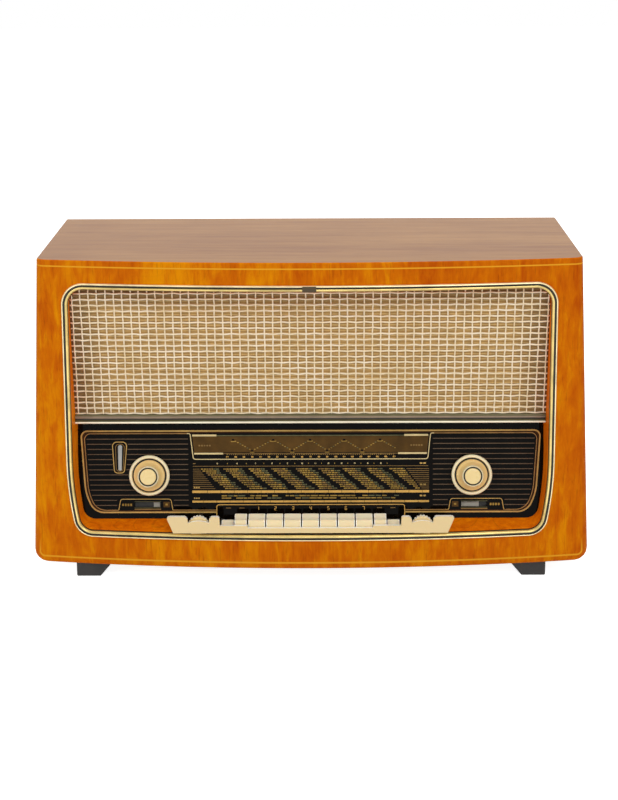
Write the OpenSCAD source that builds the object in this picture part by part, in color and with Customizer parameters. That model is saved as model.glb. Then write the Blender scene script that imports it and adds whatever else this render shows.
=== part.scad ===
// Table radio with a bowed wooden front, a recessed and tilted dial and a piano-key switch.
// X runs to the right, Y to the back and Z up. The origin is under the middle, on the table.

/* [Cabinet] */
// Width across the foot of the cabinet
cab_bottom_w = 660; // [640:1:700]
// Width across the top, less than the foot because the sides flare
cab_top_w = 623; // [610:1:640]
// Height of the wooden cabinet without its feet
cab_h = 366; // [362:1:420]
// Depth from the middle of the bowed front to the back edge
cab_d = 290; // [284:1:340]
// Thickness of the sides, top and bottom
wall = 12; // [9:0.5:14]
// Thickness of the bowed front board
front_t = 14; // [10:0.5:15]
// Radius of the bow of the front, seen from above
bow_r = 1900; // [1500:10:3000]
// Rounding of the two upright front corners
corner_r = 12; // [9:0.5:20]
// Rounding of the two bottom corners, seen from the front
foot_side_r = 14; // [8:0.5:16]
// Rounding of the front's bottom edge
foot_front_r = 3; // [1:0.5:5]
// Softening of the edge round the top
top_edge_r = 1.2; // [0.4:0.1:3]

/* [Front opening] */
// Width of the brass frame over its outside
open_w = 570.4; // [540:0.2:572]
// Height of the top of the brass frame above the cabinet's underside
open_top = 340; // [335:0.5:345]
// Height of the bottom of the brass frame above the cabinet's underside
open_bottom = 35.3; // [33:0.1:37]
// Radius of the two top corners
open_top_r = 26; // [16:0.5:40]
// Amount by which each side of the frame leans in towards the top
open_lean = 1.8; // [0:0.1:3]
// Radius of the long curve that draws the sides in near the bottom
side_arc_r = 406; // [350:1:480]
// Angle turned by that long curve before the bottom corner starts
side_arc_deg = 10; // [8:0.5:11]
// Height at which that long curve starts
side_arc_z = 125; // [120:0.5:130]
// Width of the brass frame's section
brass_w = 7.7; // [6.5:0.1:9]
// How far the outer ridge of the brass stands proud of the wood
brass_proud = 3; // [1.5:0.1:4]
// Amount by which the recess narrows on its way in
recess_taper = 1.7; // [0.5:0.1:3]
// Rise of the recess's floor from front to dial
floor_rise = 5; // [4:0.1:5.2]

/* [Dial] */
// Tilt of the dial glass from the upright
dial_tilt = 12; // [9:0.5:13]
// Depth of the foot of the dial behind the middle of the front
dial_y = 46; // [44:0.5:50]
// Height of the foot of the dial above the cabinet's underside
dial_z = 47; // [46.5:0.1:48]
// Thickness of the dial glass
glass_t = 3; // [2:0.1:3.4]
// Distance of each knob axis from the middle
knob_x = 191; // [185:0.5:195]
// Height of each knob axis up the dial
knob_v = 53; // [48:0.5:56]
// Gap between the dial glass and the metal plate behind it
plate_gap = 13; // [12.5:0.5:14]
// Thickness of that plate
plate_t = 1.2; // [0.8:0.1:2]
// Half of the travel of the lower pointer
am_half = 115; // [100:1:118]
// Half of the travel of the upper pointer
fm_half = 99; // [80:1:104]

/* [Knobs] */
// Outside radius of the ring knobs
ring_r = 24.4; // [22:0.1:27]
// Height of the ring knobs
ring_h = 12; // [9:0.5:13]
// Radius of the disc knobs
disc_r = 19.6; // [17:0.1:20.2]
// How far the disc knobs rise above the ring knobs
disc_rise = 16; // [10:0.5:20]
// Radius of the raised button in the middle of the disc knobs
button_r = 11; // [8:0.1:13]
// Gap between a ring knob and the glass
knob_gap = 1.4; // [0.8:0.1:3]
// Radius of the hollow shafts
tube_shaft_r = 5; // [4.5:0.1:6]
// Radius of the solid shafts
rod_shaft_r = 3; // [2.5:0.1:3.4]
// Running gap round every shaft
run_gap = 0.06; // [0.03:0.01:0.09]

/* [Grille] */
// Lean of the grille, whose top comes forward
cloth_lean = 8; // [6:0.5:9]
// Depth of the grille at its reference height
cloth_y = 51; // [50:0.5:54]
// Reference height of the grille above the cabinet's underside
cloth_z = 185; // [184:0.5:187]
// Thickness of the woven grille
cloth_t = 1.2; // [0.8:0.1:2]
// Thickness of the speaker board
baffle_t = 8; // [6:0.5:10]
// Height of the underside of the moulding between grille and dial
bar_z = 165; // [163:0.5:167]
// Height of that moulding
bar_h = 10.6; // [9:0.1:12]
// Depth of the face of that moulding
bar_y = 46.5; // [45:0.5:48]
// Distance of each front speaker from the middle
speaker_x = 150; // [140:1:175]
// Radius of the front speakers' holes
speaker_hole_r = 64; // [50:1:66]

/* [Keyboard] */
// Width of a main key
key_w = 19.7; // [17:0.1:20]
// Spacing of the main keys
key_pitch = 21; // [20.6:0.1:22]
// Number of main keys
main_keys = 7; // [7:1:7]
// Width of a narrow key
small_w = 14.4; // [11:0.1:14.5]
// Spacing of the narrow keys
small_pitch = 15.7; // [15.6:0.1:16]
// Angle through which a key is pressed
key_press = 5.6; // [4:0.1:6]
// Depth of the shaft that the keys turn on
key_shaft_y = 95; // [90:0.5:98]
// Height of that shaft
key_shaft_z = 44; // [43:0.5:46]
// Radius of that shaft
key_shaft_r = 2; // [1.5:0.1:2.4]
// Thickness of the ivory surround's front wall at the keys
lip_t = 4.6; // [4.5:0.1:4.9]
// Radius of the two thumbwheels
wheel_r = 12.5; // [11:0.1:13]
// Distance of each thumbwheel from the middle
wheel_x = 131; // [130:0.5:132]
// Height of the thumbwheels' axes
wheel_z = 51.6; // [51:0.1:52.4]
// Number of scallops round a thumbwheel
scallops = 20; // [12:1:28]

/* [Chassis] */
// Width of the chassis
chassis_w = 470; // [450:1:500]
// Depth of the front wall of the chassis
chassis_y = 112; // [112:1:116]
// Room between the chassis and the cabinet's back edge
chassis_back = 28; // [26:1:34]
// Height of the chassis
chassis_h = 47; // [45:0.5:50]
// Thickness of the chassis sheet
sheet_t = 1.5; // [1:0.1:2]
// Radius of the drive drum
drum_r = 73; // [60:0.5:73.5]
// Length of the ferrite rod
ferrite_len = 140; // [100:1:142]

/* [Feet and back] */
// Height of the feet
foot_h = 20; // [14:0.5:26]
// Width of a foot where it touches the table
foot_w = 29; // [22:0.5:32]
// Distance of a foot's outer side from the middle
foot_x = 279.5; // [265:0.5:285]
// Length of a foot from front to back
foot_l = 40; // [30:1:60]
// Distance of the front feet behind the middle of the front
foot_y = 32; // [30:1:45]
// Thickness of the back cover
cover_t = 3; // [2:0.1:4]
// How far the back cover lies inside the back edge
cover_in = 4; // [3:0.5:6]
// Radius of the holes in the aerial and speaker sockets
socket_r = 2; // [1.8:0.05:2.2]

/* [Hidden] */
$fn = 48;

// Facets of a true cylinder that is as large as the bow
bow_fn = 900;
// How far a cutting shape runs past what it cuts
over = 1;
// Gap between neighbours that touch without a fit
seat = 0.1;
// How far the joint clip stands proud of the wood
clip_proud = brass_proud + 0.8;
// Depth of the middle of the front in the part's own frame
front_y = -(cab_d - clip_proud) / 2;
// Lean of each cabinet side from the upright
flare = atan((cab_bottom_w - cab_top_w) / 2 / cab_h);

// Moves from the part's frame to the cabinet's: front middle at zero depth, underside at zero height
module in_cabinet() {
    translate([0, front_y, foot_h]) children();
}

// Moves to the dial's frame: Z runs up the glass and Y runs square into it
module on_dial() {
    in_cabinet() translate([0, dial_y, dial_z]) rotate([-dial_tilt, 0, 0]) children();
}

// Moves to the grille's frame: Z runs up the cloth and Y runs square into it
module on_grille() {
    in_cabinet() translate([0, cloth_y, cloth_z]) rotate([cloth_lean, 0, 0]) children();
}

// Makes a second copy on the other side of the middle
module both_sides() {
    children();
    mirror([1, 0, 0]) children();
}

// A cylinder along Y from one depth to another
module rod_y(r, y0, y1) {
    translate([0, y0, 0]) rotate([-90, 0, 0]) cylinder(r = r, h = y1 - y0);
}

// A cylinder along X from one place to another
module rod_x(r, x0, x1) {
    translate([x0, 0, 0]) rotate([0, 90, 0]) cylinder(r = r, h = x1 - x0);
}

// A box from its lowest to its highest corner
module box(low, high) {
    translate(low) cube(high - low);
}

// Extrudes an outline that is drawn in X and Z, from one depth to another
module slab_y(y0, y1) {
    translate([0, y1, 0]) rotate([90, 0, 0]) linear_extrude(y1 - y0) children();
}

// Extrudes an outline that is drawn in Y and Z, from one side to another
module slab_x(x0, x1) {
    translate([x0, 0, 0]) rotate([90, 0, 90]) linear_extrude(x1 - x0) children();
}

// A flat shape with round corners, centred on zero
module round_rect(w, h, r) {
    union() {
        square([w - 2 * r, h], center = true);
        square([w, h - 2 * r], center = true);
        for (x = [-1, 1], y = [-1, 1]) translate([x * (w / 2 - r), y * (h / 2 - r)]) circle(r = r);
    }
}

// Points of an arc, both ends included
function arc(cx, cy, r, a0, a1, n) =
    [for (i = [0:n]) let (a = a0 + (a1 - a0) * i / n) [cx + r * cos(a), cy + r * sin(a)]];

// Points mirrored to the other side of the middle, in reverse order and without those on the middle
function mirrored(p) = [for (i = [len(p) - 1:-1:0]) if (p[i].x > 0.001) [-p[i].x, p[i].y]];

// Depth of the bowed front at a distance from the middle
function bow(x) = bow_r - sqrt(bow_r * bow_r - x * x);

// Half of the cabinet's width at a height
function half_w(z) = (cab_bottom_w + (cab_top_w - cab_bottom_w) * z / cab_h) / 2;

// Plan of the cabinet at one height, drawn in from the sides and from the front.
// The bow's points keep their places at every height, so its facets stay upright and flat.
bow_steps = 10;
bow_end = cab_top_w / 2 - wall - corner_r;
function half_plan(half, in_front, r, back) =
    let (big = bow_r - in_front, a = asin((half - r) / (big - r)))
    concat([[half, back]],
        arc(half - r, bow_r - (big - r) * cos(a), r, 0, a - 90, 4),
        [for (i = [bow_steps:-1:0]) let (x = bow_end * i / bow_steps) [x, bow_r - sqrt(big * big - x * x)]]);
function plan(half, in_front, r, back) =
    let (p = half_plan(half, in_front, r, back)) concat(p, mirrored(p));

// Thin slice of that plan
module plan_slice(z, drawn_in, in_front, r, back, up = 0.01) {
    translate([0, 0, z]) linear_extrude(up) polygon(plan(half_w(z) - drawn_in, in_front, r, back));
}

// Outline of the front opening, drawn in from the outside of the brass, in X and Z
side_foot = [open_w / 2 - side_arc_r * (1 - cos(side_arc_deg)), side_arc_z - side_arc_r * sin(side_arc_deg)];
bottom_r = (side_foot.y - open_bottom) / (1 - sin(side_arc_deg));
bottom_c = [side_foot.x - bottom_r * cos(side_arc_deg), open_bottom + bottom_r];
top_c = [open_w / 2 - open_lean - open_top_r, open_top - open_top_r];
edge_steps = 8;
function opening_half(d, steps) =
    concat([for (i = [0:steps - 1]) [bottom_c.x * i / steps, open_bottom + d]],
        arc(bottom_c.x, bottom_c.y, bottom_r - d, -90, -side_arc_deg, 6),
        arc(open_w / 2 - side_arc_r, side_arc_z, side_arc_r - d, -side_arc_deg * 2 / 3, 0, 2),
        arc(top_c.x, top_c.y, open_top_r - d, 0, 90, 7),
        [for (i = [steps - 1:-1:0]) [top_c.x * i / steps, open_top - d]]);
function opening_path(d) = let (p = opening_half(d, edge_steps)) concat(p, mirrored(p));
function opening(d) = let (p = opening_half(d, 1))
    [for (q = concat(p, mirrored(p))) if (abs(q.x) > 0.001) q];

// Half-spaces behind the face of the dial glass and behind the face of the grille
module behind_dial(gap = 0) {
    translate([0, dial_y, dial_z]) rotate([-dial_tilt, 0, 0])
        box([-cab_bottom_w, gap, -cab_h], [cab_bottom_w, cab_d, cab_h]);
}
module behind_grille(gap = 0) {
    translate([0, cloth_y, cloth_z]) rotate([cloth_lean, 0, 0])
        box([-cab_bottom_w, gap, -cab_h], [cab_bottom_w, cab_d, cab_h]);
}

// Slab between two depths behind the face of the dial or of the grille, in the cabinet's frame
module dial_slab(y0, y1) {
    translate([0, dial_y, dial_z]) rotate([-dial_tilt, 0, 0])
        box([-cab_bottom_w / 2, y0, -30], [cab_bottom_w / 2, y1, 140]);
}
module grille_slab(y0, y1) {
    translate([0, cloth_y, cloth_z]) rotate([cloth_lean, 0, 0])
        box([-cab_bottom_w / 2, y0, -30], [cab_bottom_w / 2, y1, 180]);
}

// How far the reveal, the glass and the speaker board stay inside the brass's outline
board_cut = 2;
reveal_in = board_cut + seat;
plug_in = board_cut + 0.6;
// Thin lip of the brass that lines the front of the recess, and the recess's own start and end
brass_lip = 0.65;
brass_lip_d = 2.5;
recess_in = brass_w - brass_lip - seat;
recess_back = 90;
// Thumbwheels: depth of their faces, thickness, shaft radius and the room left round them
wheel_y = 5;
wheel_t = 5;
wheel_room = 0.6;
tone_shaft_r = 2.5;
// Top of the moulding, where the glass's half of the front ends and the grille's begins
bar_top = bar_z + bar_h;

/* Cabinet pieces */

// Place of the sound opening in each side
side_hole = [165, 230];
side_hole_size = [150, 66];
// Moves to the middle of the right-hand side's outer face, with Z up the flared side
module on_side() {
    in_cabinet() translate([half_w(side_hole.y), side_hole.x, side_hole.y])
        rotate([0, -flare, 0]) children();
}

// Places of the screws: under the feet and round the back cover, in the cabinet's frame
foot_screws = [for (y = [foot_y + foot_l / 2, cab_d - foot_y - foot_l / 2 + 10])
    [foot_x - foot_w / 2 - 4, y]];
cover_rim = 6;
cover_screws = [[half_w(30) - wall, 30], [half_w(cab_h / 2) - wall, cab_h / 2],
    [half_w(cab_h - 30) - wall, cab_h - 30]];
screw_r = 1.9;
bolt_r = 2.4;
screw_l = 13;

module wood_screw() {
    union() {
        translate([0, 0, -head_h]) cylinder(r = 3.9, h = head_h);
        cylinder(r = screw_r, h = screw_l);
    }
}

// Blocks glued inside the back edge, which take the back cover's screws
module cover_blocks() {
    for (p = cover_screws) both_sides()
        box([p.x - 14, cab_d - cover_in - cover_t - 24, p.y - 10],
            [p.x + 3, cab_d - cover_in - cover_t, p.y + 10]);
}

module cabinet() {
    color("#c86a12") difference() {
        in_cabinet() difference() {
            hull() {
                for (t = [0:22.5:90])
                    plan_slice(foot_side_r * (1 - cos(t)), foot_side_r * (1 - sin(t)),
                        foot_front_r * (1 - sin(t)), corner_r - foot_side_r * (1 - sin(t)) / 2, cab_d);
                plan_slice(cab_h - top_edge_r, 0, 0, corner_r, cab_d);
                plan_slice(cab_h - 0.01, top_edge_r, top_edge_r, corner_r, cab_d);
            }
            difference() {
                hull() {
                    plan_slice(wall, wall, front_t, 3, cab_d + over);
                    plan_slice(cab_h - wall - 0.01, wall, front_t, 3, cab_d + over);
                }
                cover_blocks();
            }
            intersection() {
                hull() {
                    plan_slice(wall - cover_rim, wall - cover_rim, front_t, 3, cab_d + over);
                    plan_slice(cab_h - wall + cover_rim, wall - cover_rim, front_t, 3, cab_d + over);
                }
                box([-cab_bottom_w, cab_d - cover_in - cover_t, 0], [cab_bottom_w, cab_d + 2, cab_h]);
            }
            slab_y(-over, front_t + bow(cab_bottom_w / 2)) polygon(opening(board_cut));
            for (p = foot_screws) both_sides()
                translate([p.x, p.y, -over]) cylinder(r = screw_r + seat, h = wall - 2 + over);
            for (p = cover_screws) both_sides() translate([p.x - 6, 0, p.y])
                rod_y(screw_r + seat, cab_d - cover_in - cover_t - screw_l - 1, cab_d);
            for (p = bolts) translate([p.x, p.y, -over]) cylinder(r = bolt_r + 0.4, h = wall + 2 * over);
            for (i = [-5:5], y = [chassis_y + 38, (chassis_y + chassis_end) / 2 + 3, chassis_end - 32])
                translate([i * 34, y, -over]) cylinder(r = 7, h = wall + 2 * over);
        }
        both_sides() on_side() slab_x(-wall - 6, over)
            round_rect(side_hole_size.x, side_hole_size.y, 14);
    }
}

// Wooden lining of the recess: its front lies behind the brass, its back carries glass and board
keys_half = main_keys * key_pitch / 2 - (key_pitch - key_w) / 2;
small_half = keys_half + 2.5 + small_pitch + small_w;
floor_notch = small_half + 2.6;
// Rise of the points of the recess's far end, most at the floor, so that its lower corners stay round
function raised(z) = (floor_rise * recess_back / dial_y - recess_taper)
    * max(0, (side_arc_z - z) / (side_arc_z - open_bottom - recess_in - recess_taper));
module reveal_frame() {
    color("#b85a10") in_cabinet() difference() {
        intersection() {
            slab_y(-over, recess_back) polygon(opening(reveal_in));
            translate([0, bow_r, 0]) cylinder(r = bow_r - 2 * seat, h = cab_h, $fn = bow_fn);
        }
        hull() {
            slab_y(-over, -over + 0.01) polygon(opening(recess_in));
            slab_y(recess_back, recess_back + 0.01)
                polygon([for (q = opening(recess_in + recess_taper)) [q.x, q.y + raised(q.y)]]);
        }
        difference() {
            slab_y(-over, dial_y) polygon(opening(recess_in));
            translate([0, bow_r, -over])
                cylinder(r = bow_r - brass_lip_d - seat, h = cab_h + 2 * over, $fn = bow_fn);
        }
        intersection() {
            behind_dial();
            box([-cab_bottom_w, 0, 0], [cab_bottom_w, cab_d, bar_top]);
        }
        intersection() {
            behind_grille();
            box([-cab_bottom_w, 0, bar_top], [cab_bottom_w, cab_d, cab_h]);
        }
        box([-floor_notch, -over, open_bottom], [floor_notch, cab_d, open_bottom + 40]);
        for (x = [-wheel_x, wheel_x]) translate([x, 0, wheel_z]) {
            rod_y(wheel_r + wheel_room, wheel_y - wheel_room, wheel_y + wheel_t + wheel_room);
            rod_y(tone_shaft_r + wheel_room, wheel_y, dial_y + 20);
        }
    }
}

// Section of the brass frame: distance in from its outside, and how far it stands proud
function brass_section() =
    let (w = brass_w, p = brass_proud)
    [[0, 0], [0, 0.4 * p], [0.09 * w, 0.86 * p], [0.19 * w, p], [0.3 * w, 0.84 * p], [0.38 * w, 0.33 * p],
        [0.5 * w, 0.3 * p], [0.58 * w, 0.7 * p], [0.68 * w, 0.86 * p], [0.79 * w, 0.72 * p],
        [0.88 * w, 0.2 * p], [w, -0.75 * p], [w, -brass_lip_d], [w - brass_lip, -brass_lip_d],
        [w - brass_lip, 0]];

// A closed section swept round the bowed opening
module sweep_opening(section) {
    n = len(section);
    m = len(opening_path(0));
    points = [for (s = section, q = opening_path(s[0])) [q.x, bow(q.x) - s[1] - seat, q.y]];
    faces = [for (i = [0:n - 1], j = [0:m - 1])
        let (k = (j + 1) % m, a = i * m + j, b = i * m + k, c = (i + 1) % n * m + k, d = (i + 1) % n * m + j)
        each [[a, c, b], [a, d, c]]];
    polyhedron(points = points, faces = faces, convexity = 6);
}

module brass_frame() {
    color("#c9b06a") in_cabinet() sweep_opening(brass_section());
}

// Small clip that bridges the brass ridges where the frame's ends meet
clip_w = 16;
module frame_clip() {
    color("#d8c080") in_cabinet() intersection() {
        slab_y(-2 * clip_proud, front_t) translate([0, open_top - brass_w * 0.5])
            round_rect(clip_w, brass_w * 0.86, 1);
        difference() {
            translate([0, bow_r, 0]) cylinder(r = bow_r + clip_proud, h = cab_h, $fn = bow_fn);
            translate([0, bow_r, -over])
                cylinder(r = bow_r + brass_proud + seat + 0.05, h = cab_h + 2 * over, $fn = bow_fn);
        }
    }
}

/* Grille pieces */

module grille_cloth() {
    color("#e6d3a0") in_cabinet() intersection() {
        grille_slab(0, cloth_t);
        slab_y(-over, 110) polygon(opening(plug_in));
        box([-cab_bottom_w, 0, bar_top + seat], [cab_bottom_w, cab_d, cab_h]);
    }
}

// Height of the speakers' centres up the grille
speaker_v = (open_top - brass_w - bar_top) / 2 / cos(cloth_lean) + bar_top - cloth_z;
module baffle_board() {
    color("#8a6a42") difference() {
        in_cabinet() intersection() {
            grille_slab(cloth_t, cloth_t + baffle_t);
            slab_y(-over, 110) polygon(opening(plug_in));
            box([-cab_bottom_w, 0, bar_top + seat], [cab_bottom_w, cab_d, cab_h]);
        }
        on_grille() for (x = [-speaker_x, speaker_x])
            translate([x, 0, speaker_v]) rod_y(speaker_hole_r, 0, baffle_t * 2);
    }
}

// Depth of the face of the dial glass at a height
function dial_depth(z) = dial_y + (z - dial_z) * tan(dial_tilt);
bar_half = open_w / 2 - open_lean / 4 - recess_in - recess_taper * 0.82 - seat;
module moulding_bar() {
    back = dial_depth(bar_z + 1) - seat;
    h = bar_h;
    color("#b09a60") in_cabinet() slab_x(-bar_half, bar_half) polygon([
        [back, bar_z + 1], [back, bar_top], [bar_y + 2, bar_top], [bar_y + 1.2, bar_top - 0.06 * h],
        [bar_y + 1.2, bar_top - 0.16 * h], [bar_y + 0.5, bar_top - 0.22 * h],
        [bar_y + 0.2, bar_top - 0.32 * h], [bar_y + 0.8, bar_top - 0.42 * h],
        [bar_y + 2.6, bar_top - 0.46 * h], [bar_y + 2.6, bar_top - 0.6 * h],
        [bar_y + 1, bar_top - 0.68 * h], [bar_y + 0.1, bar_top - 0.78 * h], [bar_y, bar_top - 0.9 * h],
        [bar_y + 0.7, bar_z], [bar_y + 3, bar_z]]);
}

// Front speakers behind the board, side speakers behind the side openings
module speaker(hole_r, deep) {
    flange = hole_r + 12;
    rotate([-90, 0, 0]) difference() {
        union() {
            rotate_extrude() polygon([[hole_r - 3, 0], [flange, 0], [flange, 1.5], [hole_r, 1.5],
                [hole_r * 0.45, deep], [hole_r * 0.45 - 2, deep], [hole_r - 3, 1.5]]);
            translate([0, 0, deep]) cylinder(r = hole_r * 0.5, h = 5);
            translate([0, 0, deep + 5]) cylinder(r = hole_r * 0.42, h = 16);
            translate([0, 0, deep + 21]) cylinder(r = hole_r * 0.5, h = 5);
        }
        for (a = [0:60:300]) rotate([0, 0, a]) translate([hole_r * 0.76, 0, deep * 0.5])
            cube([hole_r * 0.3, hole_r * 0.3, deep * 0.7], center = true);
        for (a = [45:90:315]) rotate([0, 0, a]) translate([flange - 5, 0, -over]) cylinder(r = 2.1, h = 4);
    }
}
side_speaker_r = 34;
module speakers() {
    color("#5a5a58") union() {
        on_grille() for (x = [-speaker_x, speaker_x])
            translate([x, cloth_t + baffle_t + seat, speaker_v]) speaker(speaker_hole_r, 34);
        both_sides() on_side() translate([-wall - seat, 0, 0]) rotate([0, 0, 90])
            speaker(side_speaker_r, 22);
    }
}

// Slotted ivory panels that fill the side openings
module side_grilles() {
    color("#e2cf9c") both_sides() on_side() difference() {
        slab_x(-6, 0) round_rect(side_hole_size.x - 0.4, side_hole_size.y - 0.4, 13.8);
        slab_x(-6 - over, -2) round_rect(side_hole_size.x - 8, side_hole_size.y - 8, 10);
        slab_x(-3, over) for (i = [-11:11]) translate([i * 5.8, 0])
            square([2.8, i % 11 == 0 ? 40 : 50], center = true);
    }
}

/* Dial pieces */

// Top of the window that keys and thumbwheel shafts pass through under the glass
key_gap_top = dial_z - 0.2;
module dial_glass() {
    color("#141210") difference() {
        in_cabinet() difference() {
            intersection() {
                dial_slab(seat, glass_t + seat);
                slab_y(-over, 110) polygon(opening(plug_in));
                box([-cab_bottom_w, 0, 0], [cab_bottom_w, cab_d, bar_top - seat]);
            }
            box([-wheel_x - 14, 0, 0], [wheel_x + 14, cab_d, key_gap_top]);
            for (x = [-wheel_x, wheel_x]) translate([x, 0, 0]) {
                translate([0, 0, wheel_z]) rod_y(tone_shaft_r + wheel_room, 0, 80);
                box([-tone_shaft_r - wheel_room, 0, 0], [tone_shaft_r + wheel_room, 80, wheel_z]);
            }
        }
        on_dial() for (x = [-knob_x, knob_x])
            translate([x, 0, knob_v]) rod_y(tube_shaft_r + 1.2, -over, glass_t + 2);
    }
}

// Steel plate behind the glass, with its legs to the chassis, pointer rods and indicator guides
plate_y = glass_t + plate_gap;
plate_half = 212;
plate_low = 26;
plate_high = 112;
rod_r = 2;
am_rail_v = plate_low + 2;
fm_rail_v = plate_high - 4;
rail_y = glass_t + 7.5;
ear_t = 2;
guide_low = 12.5;
guide_high = 21.5;
// Places of the tone windows' middles along the dial
tone_window_u = [-194.2, 194.8];

module rail(v, half) {
    translate([0, rail_y, v]) rod_x(rod_r, -half - ear_t, half + ear_t);
    for (x = [-half - ear_t, half])
        box([x, rail_y - rod_r - 2, v - rod_r - 2], [x + ear_t, plate_y + 0.2, v + rod_r + 2]);
}
module dial_plate() {
    leg_foot = chassis_y + 4;
    color("#a8a49a") difference() {
        union() {
            on_dial() {
                box([-plate_half, plate_y, plate_low], [plate_half, plate_y + plate_t, plate_high]);
                rail(am_rail_v, am_half + 8);
                rail(fm_rail_v, fm_half + 8);
                for (u = tone_window_u) {
                    box([u - 34, glass_t + 2.4, guide_low], [u + 34, glass_t + 3.4, guide_high]);
                    for (v = [guide_low, guide_high - 1])
                        box([u - 34, glass_t + 0.6, v], [u + 34, glass_t + 3.4, v + 1]);
                    for (x = [u - 17, u + 17])
                        box([x - 3, glass_t + 3.2, guide_low + 3],
                            [x + 3, plate_y + plate_t, guide_high - 1]);
                    box([u - 20, plate_y, guide_low + 3], [u + 20, plate_y + plate_t, plate_low + 1]);
                }
            }
            in_cabinet() both_sides() slab_x(plate_half - ear_t, plate_half) polygon([
                [dial_y + plate_y + 12, dial_z + plate_low],
                [dial_y + plate_y + plate_high * sin(dial_tilt) - 2,
                    dial_z + plate_high * cos(dial_tilt) - 6],
                [leg_foot + 30, chassis_top + 20], [leg_foot + 40, chassis_top], [leg_foot, chassis_top],
                [leg_foot - 14, dial_z + plate_low - 2]]);
        }
        on_dial() for (x = [-knob_x, knob_x])
            translate([x, 0, knob_v]) rod_y(bush_r + run_gap, plate_y - over, plate_y + plate_t + over);
        on_dial() for (x = [-120, 120]) translate([x, 0, 70])
            rod_y(9, plate_y - over, plate_y + plate_t + over);
    }
}

// A pointer: a carriage that slides on its rod, with a needle in front of the plate
module pointer(v, needle_to) {
    low = min(v, needle_to);
    high = max(v, needle_to);
    difference() {
        union() {
            translate([0, rail_y, v]) rod_x(rod_r + 1.6, -6, 6);
            box([-0.5, glass_t + 1.2, low], [0.5, glass_t + 2, high]);
            box([-0.5, glass_t + 1.2, v - 1.2], [0.5, rail_y - rod_r - 0.4, v + 1.2]);
        }
        translate([0, rail_y, v]) rod_x(rod_r + run_gap, -7, 7);
    }
}
module am_pointer() {
    color("#c03a20") on_dial() translate([-am_half, 0, 0]) pointer(am_rail_v, 66);
}
module fm_pointer() {
    color("#c03a20") on_dial() translate([-fm_half, 0, 0]) pointer(fm_rail_v, 74);
}

// Tuning-eye tube upright behind its window, in a socket held by a bracket
eye_u = -227;
module eye_tube() {
    color("#b8c4bc") on_dial() {
        translate([eye_u, glass_t + 12.5, 48]) cylinder(r = 11, h = 52);
        translate([eye_u, glass_t + 12.5, 100]) cylinder(r1 = 11, r2 = 4, h = 6, $fn = 60);
        translate([eye_u, glass_t + 12.5, 38]) cylinder(r = 12, h = 10);
        box([eye_u, glass_t + 22, 40], [-plate_half - seat, glass_t + 26, 46]);
    }
}

/* Knobs and their shafts */

bush_r = 7.5;
ring_y = -knob_gap;
ring_front = ring_y - ring_h;
disc_front = ring_front - disc_rise;

// Places something at a knob's axis in the dial's frame
module at_knob(x) {
    on_dial() translate([x, 0, knob_v]) rotate([-90, 0, 0]) children();
}

// Ring knob: a rolled outer edge round a sunk floor
module ring_knob() {
    color("#ecdcb0") rotate_extrude($fn = 96) polygon(concat(
        [[tube_shaft_r, ring_y], [ring_r - 2.2, ring_y], [ring_r - 1.4, ring_y - 0.8]],
        arc(ring_r - 2.4, ring_front + 2.6, 2.4, 10, -80, 5),
        [[disc_r + 1.6, ring_front + 0.2], [disc_r + 0.9, ring_front + 1.4], [disc_r + 0.9, ring_front + 6],
            [tube_shaft_r, ring_front + 6]]));
}
module ring_knob_left() { at_knob(-knob_x) ring_knob(); }
module ring_knob_right() { at_knob(knob_x) ring_knob(); }

// Disc knob: a flared flank that rises to a raised button
module disc_knob() {
    flank = [for (t = [0:0.125:1]) [button_r + 1 + (disc_r - button_r - 2.2) * pow(1 - t, 0.8),
        ring_front - 0.6 - (disc_rise - 2) * pow(t, 1.5)]];
    color("#e6cf98") rotate_extrude($fn = 96) polygon(concat(
        [[rod_shaft_r, ring_front + 4.6], [disc_r, ring_front + 4.6], [disc_r, ring_front + 0.2],
            [disc_r - 0.6, ring_front - 0.4]],
        flank,
        [[button_r + 0.9, disc_front + 2.2], [button_r + 0.3, disc_front + 3], [button_r, disc_front + 1.2],
            [button_r - 1.2, disc_front + 0.5], [button_r * 0.5, disc_front + 0.1], [0, disc_front],
            [0, ring_front - 3], [rod_shaft_r, ring_front - 3]]));
}
module disc_knob_left() { at_knob(-knob_x) disc_knob(); }
module disc_knob_right() { at_knob(knob_x) disc_knob(); }

// Hollow shafts with a cord drum behind the plate
tube_back = plate_y + 26;
module tube_shaft() {
    color("#b8b4a8") rotate_extrude() polygon([
        [rod_shaft_r + run_gap, ring_front + 6.2], [tube_shaft_r, ring_front + 6.2],
        [tube_shaft_r, plate_y + 12],
        [10, plate_y + 12], [10, plate_y + 13.5], [6, plate_y + 15], [6, plate_y + 19], [10, plate_y + 20.5],
        [10, plate_y + 22], [tube_shaft_r, plate_y + 22], [tube_shaft_r, tube_back],
        [rod_shaft_r + run_gap, tube_back]]);
}
module tube_shaft_left() { at_knob(-knob_x) tube_shaft(); }
module tube_shaft_right() { at_knob(knob_x) tube_shaft(); }

// Solid shafts; the left one turns the volume control, the right one ends in a cord drum
module rod_shaft(back, drum) {
    color("#d0ccc0") rotate_extrude() polygon(concat(
        [[0, ring_front - 2.9], [rod_shaft_r, ring_front - 2.9], [rod_shaft_r, tube_back + 3]],
        drum ? [[9, tube_back + 3], [9, tube_back + 4], [6, tube_back + 5.5], [6, tube_back + 9],
            [9, tube_back + 10.5], [9, tube_back + 11.5], [rod_shaft_r, tube_back + 11.5]] : [],
        [[rod_shaft_r, back], [0, back]]));
}
module rod_shaft_left() { at_knob(-knob_x) rod_shaft(tube_back + 18, false); }
module rod_shaft_right() { at_knob(knob_x) rod_shaft(tube_back + 13, true); }

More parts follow.
